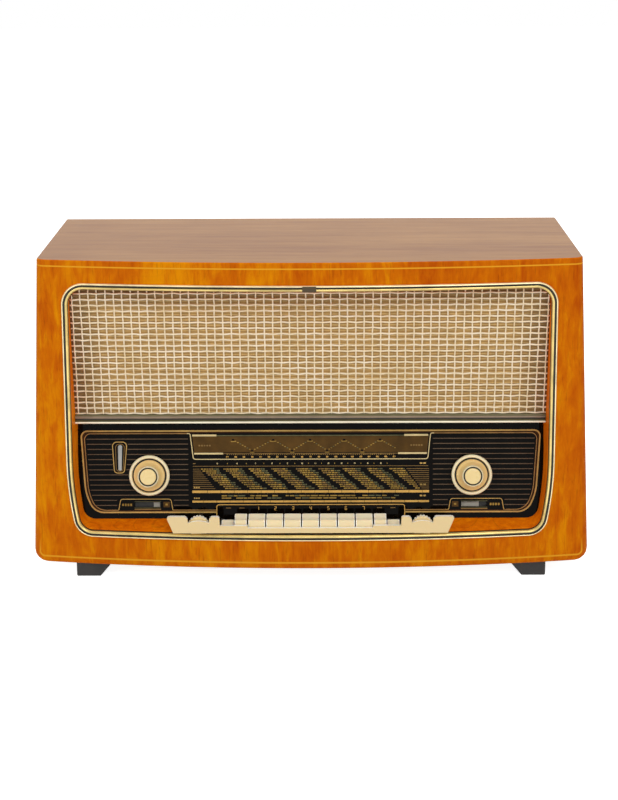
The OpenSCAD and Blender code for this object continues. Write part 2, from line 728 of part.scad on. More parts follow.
// Brass bushes in the plate that carry the hollow shafts
module shaft_bushes() {
    color("#c8a850") for (x = [-knob_x, knob_x]) at_knob(x) difference() {
        union() {
            translate([0, 0, glass_t + 2]) cylinder(r = bush_r, h = plate_gap + plate_t + 6);
            translate([0, 0, plate_y - 2.1]) cylinder(r = bush_r + 3, h = 2);
        }
        cylinder(r = tube_shaft_r + run_gap, h = 80);
    }
}

// Volume control behind the left shaft, on a bracket from the plate
module volume_pot() {
    y0 = tube_back + 4;
    color("#8c8a80") at_knob(-knob_x) difference() {
        union() {
            translate([0, 0, y0]) cylinder(r = 6, h = 3);
            translate([0, 0, y0 + 3]) cylinder(r = 14, h = 13);
            box([-21 + ear_t + seat, -6, y0 + 1], [0, 6, y0 + 2.5]);
            box([-21 + ear_t + seat, -6, plate_y + plate_t], [-21 + ear_t + 1.6, 6, y0 + 2.5]);
        }
        translate([0, 0, plate_y]) cylinder(r = rod_shaft_r + run_gap, h = tube_back + 18.5 - plate_y);
    }
}

/* Tone controls */

tone_drum_r = 6.4;
tone_pot_y = chassis_y - 14;

// Scalloped thumbwheel on a shaft that runs back under the glass
module thumbwheel() {
    difference() {
        union() {
            rod_y(wheel_r, wheel_y, wheel_y + wheel_t);
            rod_y(tone_shaft_r, wheel_y, chassis_y - 4);
            rod_y(tone_drum_r, 62, 68);
        }
        for (i = [0:scallops - 1]) rotate([0, 360 * i / scallops, 0])
            translate([wheel_r + 0.7, 0, 0]) rod_y(1.5, wheel_y - over, wheel_y + wheel_t + over, $fn = 16);
    }
}
module bass_wheel() {
    color("#e8d8a8") in_cabinet() translate([-wheel_x, 0, wheel_z]) thumbwheel();
}
module treble_wheel() {
    color("#e8d8a8") in_cabinet() translate([wheel_x, 0, wheel_z]) thumbwheel();
}

// Tone controls on the chassis front, whose bushes carry the thumbwheel shafts
module tone_pots() {
    color("#8c8a80") in_cabinet() for (x = [-wheel_x, wheel_x]) translate([x, 0, wheel_z]) difference() {
        union() {
            rod_y(5, tone_pot_y - 8, tone_pot_y);
            rod_y(11, tone_pot_y, chassis_y - seat);
        }
        rod_y(tone_shaft_r + run_gap, tone_pot_y - 9, chassis_y - 3.5);
    }
}

// Pale flags that slide behind the tone windows
flag_l = 36;
module flag() {
    union() {
        box([0, glass_t + 1, guide_low + 1.2], [flag_l, glass_t + 2.2, guide_high - 1.2]);
        box([0, glass_t + 1, guide_low + 1.2], [2, glass_t + 2.2, guide_high - 1.2]);
    }
}
bass_edge = -187.4;
treble_edge = 200.6;
module bass_indicator() {
    color("#c8c6bc") on_dial() translate([bass_edge, 0, 0]) flag();
}
module treble_indicator() {
    color("#c8c6bc") on_dial() translate([treble_edge - flag_l, 0, 0]) flag();
}

/* Keyboard */

lip_main = 50.8;
lip_small = 53.8;
bezel_bottom = open_bottom + brass_w + 1.9;
bezel_top = 65;
notch_z = 57.2;
bezel_y = 0.5;
bezel_t = lip_t + 0.4;

// Right half of the surround's front outline
function bezel_half() = concat(
    [[0, bezel_bottom], [160.5, bezel_bottom]],
    arc(165.2, bezel_top - 2.6, 2.4, 0, 70, 4),
    [[163, bezel_top], [147, bezel_top], [145.4, bezel_top - 0.8], [143.6, bezel_top - 3.4],
        [143.4, notch_z]],
    arc(wheel_x, wheel_z - 24, 32, 69, 111, 8),
    [[118.6, notch_z], [118.2, bezel_top - 3.6], [116.4, bezel_top - 0.9], [114.6, bezel_top - 0.2],
        [small_half + 2.6, bezel_top - 0.2], [small_half + 0.9, bezel_top - 1.6],
        [small_half + 0.6, lip_small], [keys_half + 0.4, lip_small], [keys_half + 0.4, lip_main],
        [0, lip_main]]);
module key_bezel() {
    color("#efdfb4") in_cabinet() difference() {
        union() {
            slab_y(bezel_y, bezel_y + bezel_t) polygon(concat(bezel_half(), mirrored(bezel_half())));
            for (x = [-floor_notch - 2.6, floor_notch - 2.4])
                box([x, bezel_y + 1, bezel_bottom], [x + 5, bezel_y + 15, bezel_bottom + 4]);
        }
        box([-small_half - 0.6, bezel_y + lip_t, bezel_bottom - over],
            [small_half + 0.6, 40, lip_small + 20]);
        for (x = [-wheel_x, wheel_x]) translate([x, 0, wheel_z])
            rod_y(wheel_r + wheel_room, wheel_y - wheel_room, wheel_y + 20);
    }
}

// Side view of a key: its cap, then its lever, in depth and height
cap_front = bezel_y + lip_t + 0.4;
cap_back = 24.5;
cap_low = 48.3;
cap_lean = (57 - cap_low) * sin(key_press);
cap_top = [[cap_front, cap_low], [cap_front + cap_lean, 57], [cap_front + cap_lean + 0.5, 58],
    [cap_front + cap_lean + 1.4, 58.6], [8, 58.8], [13, 58.9], [17, 59.5], [20.5, 60.4], [23, 61.1],
    [24, 61], [cap_back, 60.2], [cap_back, 54.8], [21, 52.8], [9, 52.8], [cap_front + 3, cap_low]];
hub_r = 4.6;
hub_w = 10;

module key_shape(w) {
    difference() {
        union() {
            slab_x(-w / 2, w / 2) polygon(cap_top);
            slab_x(-3, 3) polygon([[9, 53.3], [9, 50], [20, 48.4], [40, key_shaft_z - 3.4],
                [key_shaft_y, key_shaft_z - 3.4], [key_shaft_y, key_shaft_z + 1.6],
                [46, key_shaft_z + 1.6], [40, key_shaft_z + 1.8], [24.4, 51.8], [24.4, 55.3], [9, 54.8]]);
            translate([0, key_shaft_y, key_shaft_z]) rod_x(hub_r, -hub_w / 2, hub_w / 2);
        }
        translate([0, key_shaft_y, key_shaft_z]) rod_x(key_shaft_r + run_gap, -6, 6);
    }
}
// A key in its place, pressed or not
module key(x, w, pressed) {
    in_cabinet() translate([x, key_shaft_y, key_shaft_z]) rotate([pressed ? key_press : 0, 0, 0])
        translate([0, -key_shaft_y, -key_shaft_z]) key_shape(w);
}
function main_x(i) = (i - (main_keys - 1) / 2) * key_pitch;
function small_x(i) = (i < 2 ? -1 : 1)
    * (keys_half + 1.8 + small_w / 2 + ((i == 0 || i == 3) ? small_pitch : 0));
module main_key(i) { color("#f0e4c4") key(main_x(i), key_w, false); }
module small_key(i) { color("#f0e4c4") key(small_x(i), small_w, i == 0 || i == 3); }
key_xs = concat([for (i = [0:3]) small_x(i)], [for (i = [0:main_keys - 1]) main_x(i)]);

// Steel frame with two arms that carry the key shaft, between surround and chassis
frame_x = floor_notch - 1;
module key_shaft() {
    color("#c8c4b8") in_cabinet() translate([0, key_shaft_y, key_shaft_z])
        rod_x(key_shaft_r, -frame_x - 3, frame_x + 3);
}
module key_frame() {
    low = open_bottom + 4.5;
    color("#9c988c") in_cabinet() difference() {
        union() {
            for (x = [-frame_x, frame_x - ear_t]) slab_x(x, x + ear_t) polygon([
                [bezel_y + bezel_t + 1, low], [chassis_y, low - 16], [chassis_y, key_shaft_z + 8],
                [key_shaft_y - 14, key_shaft_z + 8], [60, dial_z - 1.2], [dial_y - 4, bezel_bottom - seat],
                [bezel_y + bezel_t + 1, bezel_bottom - seat]]);
            box([-frame_x, chassis_y - 1.5, low - 16], [frame_x, chassis_y, key_shaft_z + 8]);
            box([-frame_x, 78, low - 16], [frame_x, chassis_y, low - 14.5]);
        }
        translate([0, key_shaft_y, key_shaft_z]) rod_x(key_shaft_r + 0.02, -frame_x - 5, frame_x + 5);
    }
}

// Coil springs on the key shaft, one beside each key, with a tail to the frame's back wall
spring_turns = 3;
module key_springs() {
    w = 0.9;
    r = key_shaft_r + 0.2;
    coil = concat([[r, 0]],
        [for (i = [0:spring_turns - 1]) each [[r + 0.6 * w, i * w], [r + w, (i + 0.5) * w]]],
        [[r + 0.6 * w, spring_turns * w], [r, spring_turns * w]]);
    beside = hub_w / 2 + 0.3;
    color("#8c8c8c") in_cabinet() for (x = key_xs)
        translate([x > 0 ? x - beside - spring_turns * w : x + beside, key_shaft_y, key_shaft_z]) {
        rotate([0, 90, 0]) rotate_extrude($fn = 36) polygon(coil);
        box([0.2, 0, r + 0.1], [w, chassis_y - 1.6 - key_shaft_y, r + w - 0.1]);
    }
}

/* Chassis and what stands on it */

chassis_low = wall + 0.02;
chassis_top = wall + chassis_h + 0.02;
chassis_end = cab_d - chassis_back;
bolt_in = 20;
bolt_x = chassis_w / 2 - 8;
bolts = [for (x = [-bolt_x, bolt_x], y = [chassis_y + bolt_in, chassis_end - bolt_in]) [x, y]];
// Places of the tubes on the chassis, with the height and radius of each glass
back_row = chassis_end - 16;
mid_row = chassis_end - 37;
tube_places = [[-88, mid_row, 52, 10.5], [-48, back_row, 58, 10.5], [-8, mid_row - 5, 52, 10.5],
    [34, back_row, 60, 10.5], [74, mid_row, 68, 11], [-88, chassis_y + 38, 52, 10.5]];
can_places = [[-62, mid_row - 29], [-16, back_row + 2], [66, mid_row - 35]];
can_size = [24, 24, 58];
capacitor_at = [112, mid_row - 9];
transformer_at = [180, chassis_end - 72];
gang_w = 62;
gang_d = 60;
gang_z = chassis_top + 2.5 + drum_r;

module chassis() {
    x = chassis_w / 2;
    color("#b4b0a4") in_cabinet() difference() {
        box([-x, chassis_y, chassis_low], [x, chassis_end, chassis_top]);
        box([-x + sheet_t, chassis_y + sheet_t, chassis_low + sheet_t],
            [x - sheet_t, chassis_end - sheet_t, chassis_top - sheet_t]);
        box([-x + 16, chassis_y + 14, 0], [x - 16, chassis_end - 14, chassis_low + 10]);
        for (p = tube_places) translate([p[0], p[1], chassis_low + 10]) cylinder(r = 8.2, h = chassis_h);
        for (p = can_places) translate([p[0], p[1], chassis_low + 10]) cylinder(r = 5, h = chassis_h);
        for (p = bolts) translate([p.x, p.y, 0]) cylinder(r = bolt_r, h = wall + 10);
        for (i = [0:4])
            box([-60 + i * 26, chassis_end - 2 * sheet_t, chassis_low + 14],
                [-44 + i * 26, chassis_end + 1, chassis_low + 20]);
    }
}

// Mains transformer: a stack of sheets round its winding, with end bells and bolts
module mains_transformer() {
    color("#6a665c") in_cabinet() translate([transformer_at.x, transformer_at.y, chassis_top]) union() {
        box([-37, -16, 0], [37, 16, 62]);
        box([-40, -17, 0], [40, -11, 6]);
        box([-40, 11, 0], [40, 17, 6]);
        box([-24, -28, 9], [24, 28, 53]);
        for (x = [-32, 32], zz = [7, 56]) translate([x, 0, zz]) rod_y(3, -19, 19);
        for (i = [-2:2]) box([i * 9 - 1.5, 27.9, 50], [i * 9 + 1.5, 33, 51]);
    }
}

module filter_capacitor() {
    color("#c0c0bc") in_cabinet() translate([capacitor_at.x, capacitor_at.y, chassis_top]) union() {
        cylinder(r = 17.5, h = 70);
        cylinder(r = 19, h = 4);
        translate([0, 0, 70]) cylinder(r = 16, h = 1.5);
    }
}

// Glass tubes with their pointed tips
module tubes() {
    color("#cfd8d6") in_cabinet() for (p = tube_places) translate([p[0], p[1], chassis_top + 6.1])
        rotate_extrude() polygon(concat([[0, 0], [p[3] - 1.5, 0], [p[3], 1.5]],
            arc(p[3] - 5, p[2] - 11, 5, 0, 75, 4), [[2.4, p[2] - 5.4], [1, p[2] - 2], [0, p[2]]]));
}
module tube_sockets() {
    color("#d8d0bc") in_cabinet() for (p = tube_places) translate([p[0], p[1], chassis_top]) difference() {
        union() {
            translate([0, 0, -9]) cylinder(r = 8, h = 9);
            cylinder(r = 12, h = 6);
            box([-16, -4, 0], [16, 4, 1.2]);
        }
        for (a = [0:40:320]) rotate([0, 0, a]) translate([5.5, 0, -10]) cylinder(r = 0.7, h = 20, $fn = 16);
    }
}
module if_cans() {
    color("#c8c8c4") in_cabinet() for (p = can_places) translate([p[0], p[1], chassis_top]) difference() {
        union() {
            linear_extrude(can_size.z) round_rect(can_size.x, can_size.y, 3);
            translate([0, 0, -4]) cylinder(r = 4.8, h = 5);
        }
        translate([0, 0, can_size.z - 6]) cylinder(r = 3, h = 8);
    }
}

// Variable capacitor: frame and fixed plates, then the turning plates on their shaft
plate_pitch = 5;
turning_plates = 8;
module gang_frame() {
    y0 = chassis_y + 2;
    color("#b0a890") in_cabinet() translate([0, 0, gang_z]) difference() {
        union() {
            for (y = [y0, y0 + gang_d - 2])
                box([-gang_w / 2, y, -gang_z + chassis_top], [gang_w / 2, y + 2, 30]);
            box([-gang_w / 2, y0, -32], [gang_w / 2, y0 + gang_d, -30]);
            for (i = [0:turning_plates])
                box([-29, y0 + 7.5 + i * plate_pitch, 4], [29, y0 + 8.7 + i * plate_pitch, 30]);
            for (x = [-29, 27]) box([x, y0 + 7.5, 22], [x + 2, y0 + gang_d, 30]);
        }
        rod_y(6 + run_gap, y0 - over, y0 + 3);
        rod_y(4 + run_gap, y0 + gang_d - 3, y0 + gang_d + over);
        rod_y(9, y0 + 3, y0 + gang_d - 3);
        for (s = [-1, 1]) translate([s * 16, 0, -55]) rod_y(8, y0 - over, y0 + gang_d + over);
    }
}
module gang_rotor() {
    y0 = chassis_y + 2;
    color("#c8c4b4") in_cabinet() translate([0, 0, gang_z]) union() {
        rod_y(6, y0 - 2, y0 + 3);
        rod_y(4, y0 - 14, y0 + gang_d + 6);
        for (i = [0:turning_plates - 1]) intersection() {
            rod_y(25, y0 + 10.2 + i * plate_pitch, y0 + 11 + i * plate_pitch);
            box([-26, y0, -26], [26, y0 + gang_d, 0.5]);
        }
    }
}
drum_y = chassis_y - 11;
module drive_drum() {
    color("#c8b88c") in_cabinet() translate([0, 0, gang_z]) difference() {
        union() {
            rotate([-90, 0, 0]) translate([0, 0, drum_y]) rotate_extrude($fn = 120) polygon([
                [drum_r - 5, 0], [drum_r, 0], [drum_r, 1], [drum_r - 2, 2.4], [drum_r - 2, 4.6], [drum_r, 6],
                [drum_r, 7], [drum_r - 5, 7]]);
            rod_y(9, drum_y, drum_y + 8.6);
            for (a = [0:60:300]) rotate([0, a, 0]) box([6, drum_y + 2, -2.5], [drum_r - 4, drum_y + 5, 2.5]);
        }
        rod_y(4, drum_y - over, drum_y + 12);
    }
}

// Rotating ferrite rod on an upright post
ferrite_at = [-165, chassis_y + 77];
ferrite_z = chassis_top + 34;
pivot_r = 3;
module ferrite_post() {
    color("#b0aca0") in_cabinet() translate([ferrite_at.x, ferrite_at.y, 0]) union() {
        translate([0, 0, chassis_top]) cylinder(r = 9, h = 3);
        translate([0, 0, chassis_top]) cylinder(r = 5, h = ferrite_z - chassis_top - 14);
        translate([0, 0, chassis_top]) cylinder(r = pivot_r, h = ferrite_z - chassis_top - 3);
    }
}
module ferrite_rod() {
    z = ferrite_z - 13.8;
    color("#4a4642") in_cabinet() translate([ferrite_at.x, ferrite_at.y, 0]) difference() {
        union() {
            translate([0, 0, z]) cylinder(r = 14, h = 4);
            translate([0, 0, z]) cylinder(r = 6, h = 12);
            for (x = [-34, 30]) box([x, -5, z + 1], [x + 4, 5, ferrite_z + 8]);
            box([-34, -5, z + 1], [34, 5, z + 4]);
            translate([0, 0, ferrite_z + 2]) rod_x(5, -ferrite_len / 2, ferrite_len / 2);
            for (x = [-58, 40]) translate([0, 0, ferrite_z + 2]) rod_x(7, x, x + 20);
        }
        translate([0, 0, z - over]) cylinder(r = pivot_r + run_gap, h = 12.4);
    }
}

/* Back */

cover_y = cab_d - cover_in - cover_t;
cover_gap = 0.4;
socket_at = [-120, 36];
grommet_at = [150, 36];
sockets = [-57, -38, -19, 0, 19, 38, 57];

module back_cover() {
    function side(z) = half_w(z) - wall + cover_rim - cover_gap;
    low = wall - cover_rim + cover_gap;
    high = cab_h - wall + cover_rim - cover_gap;
    color("#6b4a2c") in_cabinet() difference() {
        slab_y(cover_y, cover_y + cover_t)
            polygon([[-side(low), low], [side(low), low], [side(high), high], [-side(high), high]]);
        slab_y(cover_y - over, cover_y + cover_t + over) {
            for (i = [-12:12], z = [110, 160, 270, 318]) translate([i * 20, z]) {
                square([5, 26], center = true);
                for (s = [-13, 13]) translate([0, s]) circle(r = 2.5, $fn = 16);
            }
            translate([socket_at.x, socket_at.y]) round_rect(138, 26, 4);
            translate([grommet_at.x, grommet_at.y]) circle(r = 8);
            for (p = cover_screws, s = [-1, 1]) translate([s * (p.x - 6), p.y]) circle(r = screw_r + seat);
        }
    }
}

// Insulating strip with metal sockets, on two legs from the back of the chassis
module socket_panel() {
    color("#a87a3c") in_cabinet() translate([socket_at.x, 0, socket_at.y]) difference() {
        union() {
            slab_y(cover_y - 2.6, cover_y + 0.4) round_rect(136, 24, 3);
            for (x = sockets) translate([x, 0, 0]) rod_y(3.6, cover_y - 10, cover_y + 1.4);
            for (x = [-66, 62]) box([x, chassis_end, -8], [x + 4, cover_y - 2.5, 8]);
        }
        for (x = sockets) translate([x, 0, 0]) rod_y(socket_r, cover_y - 9, cover_y + 3);
    }
}

// Rubber grommet through which a mains lead would leave
module cord_grommet() {
    color("#2a2826") in_cabinet() translate([grommet_at.x, 0, grommet_at.y]) rotate([-90, 0, 0])
        rotate_extrude() polygon([[4, cover_y - 2.5], [10, cover_y - 2.5], [10, cover_y - seat],
            [8 - seat, cover_y - seat], [8 - seat, cover_y + cover_t + seat], [10, cover_y + cover_t + seat],
            [10, cover_y + cover_t + 2], [8, cover_y + cover_t + 3.2], [4, cover_y + cover_t + 3.2]]);
}

/* Feet and screws */

foot_flare = 16;
head_h = 2.4;
head_seat = 10 + head_h;
module feet() {
    h = foot_h - 0.02;
    color("#26211c") for (p = foot_screws) both_sides() translate([0, front_y + p.y, 0]) difference() {
        slab_y(-foot_l / 2, foot_l / 2) polygon([[foot_x - foot_w + 1, 0], [foot_x - 1, 0], [foot_x, 1],
            [foot_x, h], [foot_x - foot_w - foot_flare, h], [foot_x - foot_w, 1]]);
        translate([p.x, 0, -over]) cylinder(r = 5, h = head_seat + over);
        translate([p.x, 0, 0]) cylinder(r = screw_r + seat, h = foot_h + over);
    }
}

module screws() {
    color("#c0b070") {
        for (p = foot_screws) both_sides() translate([p.x, front_y + p.y, head_seat - 0.02]) wood_screw();
        in_cabinet() for (p = cover_screws, s = [-1, 1])
            translate([s * (p.x - 6), cover_y + cover_t + 0.02, p.y]) rotate([90, 0, 0]) wood_screw();
    }
}

cabinet();
reveal_frame();
brass_frame();
frame_clip();
grille_cloth();
baffle_board();
moulding_bar();
dial_glass();
dial_plate();
am_pointer();
fm_pointer();
eye_tube();
ring_knob_left();
ring_knob_right();
disc_knob_left();
disc_knob_right();
tube_shaft_left();
tube_shaft_right();
rod_shaft_left();
rod_shaft_right();
shaft_bushes();
volume_pot();
bass_wheel();
treble_wheel();
tone_pots();
bass_indicator();
treble_indicator();
key_bezel();
main_key(0);  // key_1
main_key(1);  // key_2
main_key(2);  // key_3
main_key(3);  // key_4
main_key(4);  // key_5
main_key(5);  // key_6
main_key(6);  // key_7
small_key(0);  // side_key_1
small_key(1);  // side_key_2
small_key(2);  // side_key_3
small_key(3);  // side_key_4
key_shaft();
key_frame();
key_springs();
chassis();
mains_transformer();
filter_capacitor();
tubes();
tube_sockets();
if_cans();
gang_frame();
gang_rotor();
drive_drum();
ferrite_post();
ferrite_rod();
speakers();
side_grilles();
back_cover();
socket_panel();
cord_grommet();
feet();
screws();
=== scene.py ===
"""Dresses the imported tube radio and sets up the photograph's view of it.

Lengths are in millimetres until a place is made, which is in metres. Places are given in the cabinet's frame
(zero at the front's middle and the underside), in the dial's (u across, v up the glass, depth square into it)
or in the grille's, which is the same on the leaning cloth.
"""

import math
import random

import bmesh
import bpy
from mathutils import Matrix, Vector


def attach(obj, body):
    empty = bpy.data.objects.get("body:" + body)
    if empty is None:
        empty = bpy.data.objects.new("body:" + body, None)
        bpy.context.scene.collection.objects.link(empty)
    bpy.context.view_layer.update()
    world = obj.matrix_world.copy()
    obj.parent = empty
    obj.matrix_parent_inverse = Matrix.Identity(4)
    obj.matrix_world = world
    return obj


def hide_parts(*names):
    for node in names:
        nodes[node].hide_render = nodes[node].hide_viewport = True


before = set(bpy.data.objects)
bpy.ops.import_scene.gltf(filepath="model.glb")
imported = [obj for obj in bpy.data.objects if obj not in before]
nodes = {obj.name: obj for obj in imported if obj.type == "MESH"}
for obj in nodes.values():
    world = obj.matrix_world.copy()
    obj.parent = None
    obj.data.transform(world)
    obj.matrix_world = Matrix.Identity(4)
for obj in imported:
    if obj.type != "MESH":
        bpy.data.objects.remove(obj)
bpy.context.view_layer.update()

# Frames

FRONT_Y = -143.1
FOOT_H = 20.0
BOW_R = 1900.0
DIAL_Y, DIAL_Z, TILT = 46.0, 47.0, math.radians(12)
CLOTH_Y, CLOTH_Z, LEAN = 51.0, 185.0, math.radians(8)
OPEN_W, OPEN_TOP, OPEN_BOTTOM = 570.4, 340.0, 35.3
OPEN_LEAN, TOP_R = 1.8, 26.0
ARC_R, ARC_DEG, ARC_Z = 406.0, 10.0, 125.0
BRASS_W, KEY_PITCH = 7.7, 21.0
CAB_H, CAB_HALF_W, FOOT_CORNER_R = 366.0, 330.0, 14.0
SIDE_LEAN, SIDE_BOARD = 0.05, 12.0


def cab(x, y, z):
    """A place in the cabinet's frame."""
    return Vector((x, y + FRONT_Y, z + FOOT_H)) / 1000


def dial(u, depth, v):
    """A place in the dial's frame."""
    c, s = math.cos(TILT), math.sin(TILT)
    return cab(u, DIAL_Y + c * depth + s * v, DIAL_Z - s * depth + c * v)


def cloth(u, depth, v):
    """A place in the grille's frame."""
    c, s = math.cos(LEAN), math.sin(LEAN)
    return cab(u, CLOTH_Y + c * depth - s * v, CLOTH_Z + s * depth + c * v)


def bow(x):
    """How far the bowed front lies behind its middle."""
    return BOW_R - math.sqrt(BOW_R * BOW_R - x * x)


def arc(cx, cy, r, a0, a1, n):
    """Points in n steps round (cx, cy), from a0 to a1 degrees."""
    angles = [math.radians(a0 + (a1 - a0) * i / n) for i in range(n + 1)]
    return [(cx + r * math.cos(a), cy + r * math.sin(a)) for a in angles]


def opening(d):
    """Outline of the front opening, d inside the brass's outer edge, as (x, z) points."""
    steps, corner_steps, side_steps = 24, 28, 12
    foot_x = OPEN_W / 2 - ARC_R * (1 - math.cos(math.radians(ARC_DEG)))
    foot_z = ARC_Z - ARC_R * math.sin(math.radians(ARC_DEG))
    r = (foot_z - OPEN_BOTTOM) / (1 - math.sin(math.radians(ARC_DEG)))
    cx = foot_x - r * math.cos(math.radians(ARC_DEG))
    half = [(cx * i / steps, OPEN_BOTTOM + d) for i in range(steps)]
    half += arc(cx, OPEN_BOTTOM + r, r - d, -90, -ARC_DEG, corner_steps)
    half += arc(OPEN_W / 2 - ARC_R, ARC_Z, ARC_R - d, -ARC_DEG, 0, side_steps)[1:]
    top_x = OPEN_W / 2 - OPEN_LEAN - TOP_R
    half += arc(top_x, OPEN_TOP - TOP_R, TOP_R - d, 0, 90, corner_steps)
    half += [(top_x * i / steps, OPEN_TOP - d) for i in range(steps - 1, -1, -1)]
    return half + [(-x, z) for x, z in reversed(half) if x > 0.001]


# Mesh helpers


def piece(name, verts, faces, material, tags=None, body="cabinet", slot=None, replaces=(), smooth=True):
    """Makes an object of one or more materials; tags gives each face the number of its material."""
    mesh = bpy.data.meshes.new(name)
    mesh.from_pydata([tuple(v) for v in verts], [], faces)
    for kind in material if isinstance(material, (list, tuple)) else [material]:
        mesh.materials.append(kind)
    if tags:
        mesh.polygons.foreach_set("material_index", tags)
    mesh.validate()
    bm = bmesh.new()
    bm.from_mesh(mesh)
    bmesh.ops.recalc_face_normals(bm, faces=bm.faces)
    bm.to_mesh(mesh)
    bm.free()
    ob = bpy.data.objects.new(name, mesh)
    bpy.context.scene.collection.objects.link(ob)
    if smooth:
        mesh.shade_smooth()
    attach(ob, body)
    if replaces:
        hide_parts(*replaces)
    return ob


def sharpen(ob, degrees):
    """Shades smooth, apart from edges sharper than that."""
    ob.data.shade_smooth()
    ob.data.set_sharp_from_angle(angle=math.radians(degrees))


class Shape:
    """Collects quads and loops into one mesh; each face has the number of its material."""

    def __init__(self):
        self.verts, self.faces, self.tags = [], [], []

    def add(self, verts, faces, tags=None):
        k = len(self.verts)
        self.verts += verts
        self.faces += [tuple(k + i for i in f) for f in faces]
        self.tags += tags or [0] * len(faces)

    def loops(self, rings, cap=False, tag=lambda ring, step: 0):
        """Joins closed rings of points, one after the other; a cap closes both ends."""
        n = len(rings[0])
        faces, tags = [], []
        for a in range(len(rings) - 1):
            for i in range(n):
                j = (i + 1) % n
                faces.append((a * n + i, a * n + j, (a + 1) * n + j, (a + 1) * n + i))
                tags.append(tag(a, i))
        if cap:
            faces.append(tuple(range(n)))
            faces.append(tuple((len(rings) - 1) * n + i for i in reversed(range(n))))
            tags += [tag(-1, 0), tag(-1, 0)]
        self.add([p for r in rings for p in r], faces, tags)

    def tube(self, points, r, sides):
        """A round strand along the points."""
        turns = [2 * math.pi * k / sides for k in range(sides)]
        rings = []
        for i, p in enumerate(points):
            before = points[max(i - 1, 0)]
            after = points[min(i + 1, len(points) - 1)]
            along = (after - before).normalized()
            up = Vector((0, 1, 0)) if abs(along.y) < 0.9 else Vector((1, 0, 0))
            side = along.cross(up).normalized()
            up = side.cross(along)
            rings.append([p + (side * math.cos(a) + up * math.sin(a)) * r for a in turns])
        self.loops(rings, cap=True)

    def make(self, name, material, **k):
        return piece(name, self.verts, self.faces, material, tags=self.tags, **k)


def lathe(profile, place, sides=96, tag=lambda ring, step: 0):
    """Turns a profile of (radius, depth) points; place(x, depth, z) puts it in space."""
    turns = [2 * math.pi * k / sides for k in range(sides)]
    rings = [[place(r * math.cos(a), d, r * math.sin(a)) for a in turns] for r, d in profile]
    s = Shape()
    s.loops(rings, cap=True, tag=tag)
    return s


def round_poly(points, radius, n):
    """Rounds the corners of a closed polygon in n steps; radius has one value for each corner."""
    out = []
    count = len(points)
    for i in range(count):
        p = Vector(points[i])
        back = Vector(points[i - 1]) - p
        ahead = Vector(points[(i + 1) % count]) - p
        if radius[i] <= 0:
            out.append(tuple(p))
            continue
        half_angle = back.angle(ahead) / 2
        cut = min(radius[i] / math.tan(half_angle), back.length * 0.49, ahead.length * 0.49)
        r = cut * math.tan(half_angle)
        centre = p + (back.normalized() + ahead.normalized()).normalized() * (r / math.sin(half_angle))
        start = p + back.normalized() * cut - centre
        end = p + ahead.normalized() * cut - centre
        for k in range(n + 1):
            t = k / n
            out.append(tuple(centre + (start * (1 - t) + end * t).normalized() * r))
    return out


# Material helpers


def linear(rgb):
    """The linear colour of an sRGB one whose parts run from 0 to 255."""
    parts = [c / 255 for c in rgb]
    return tuple(c / 12.92 if c <= 0.04045 else ((c + 0.055) / 1.055) ** 2.4 for c in parts) + (1.0,)


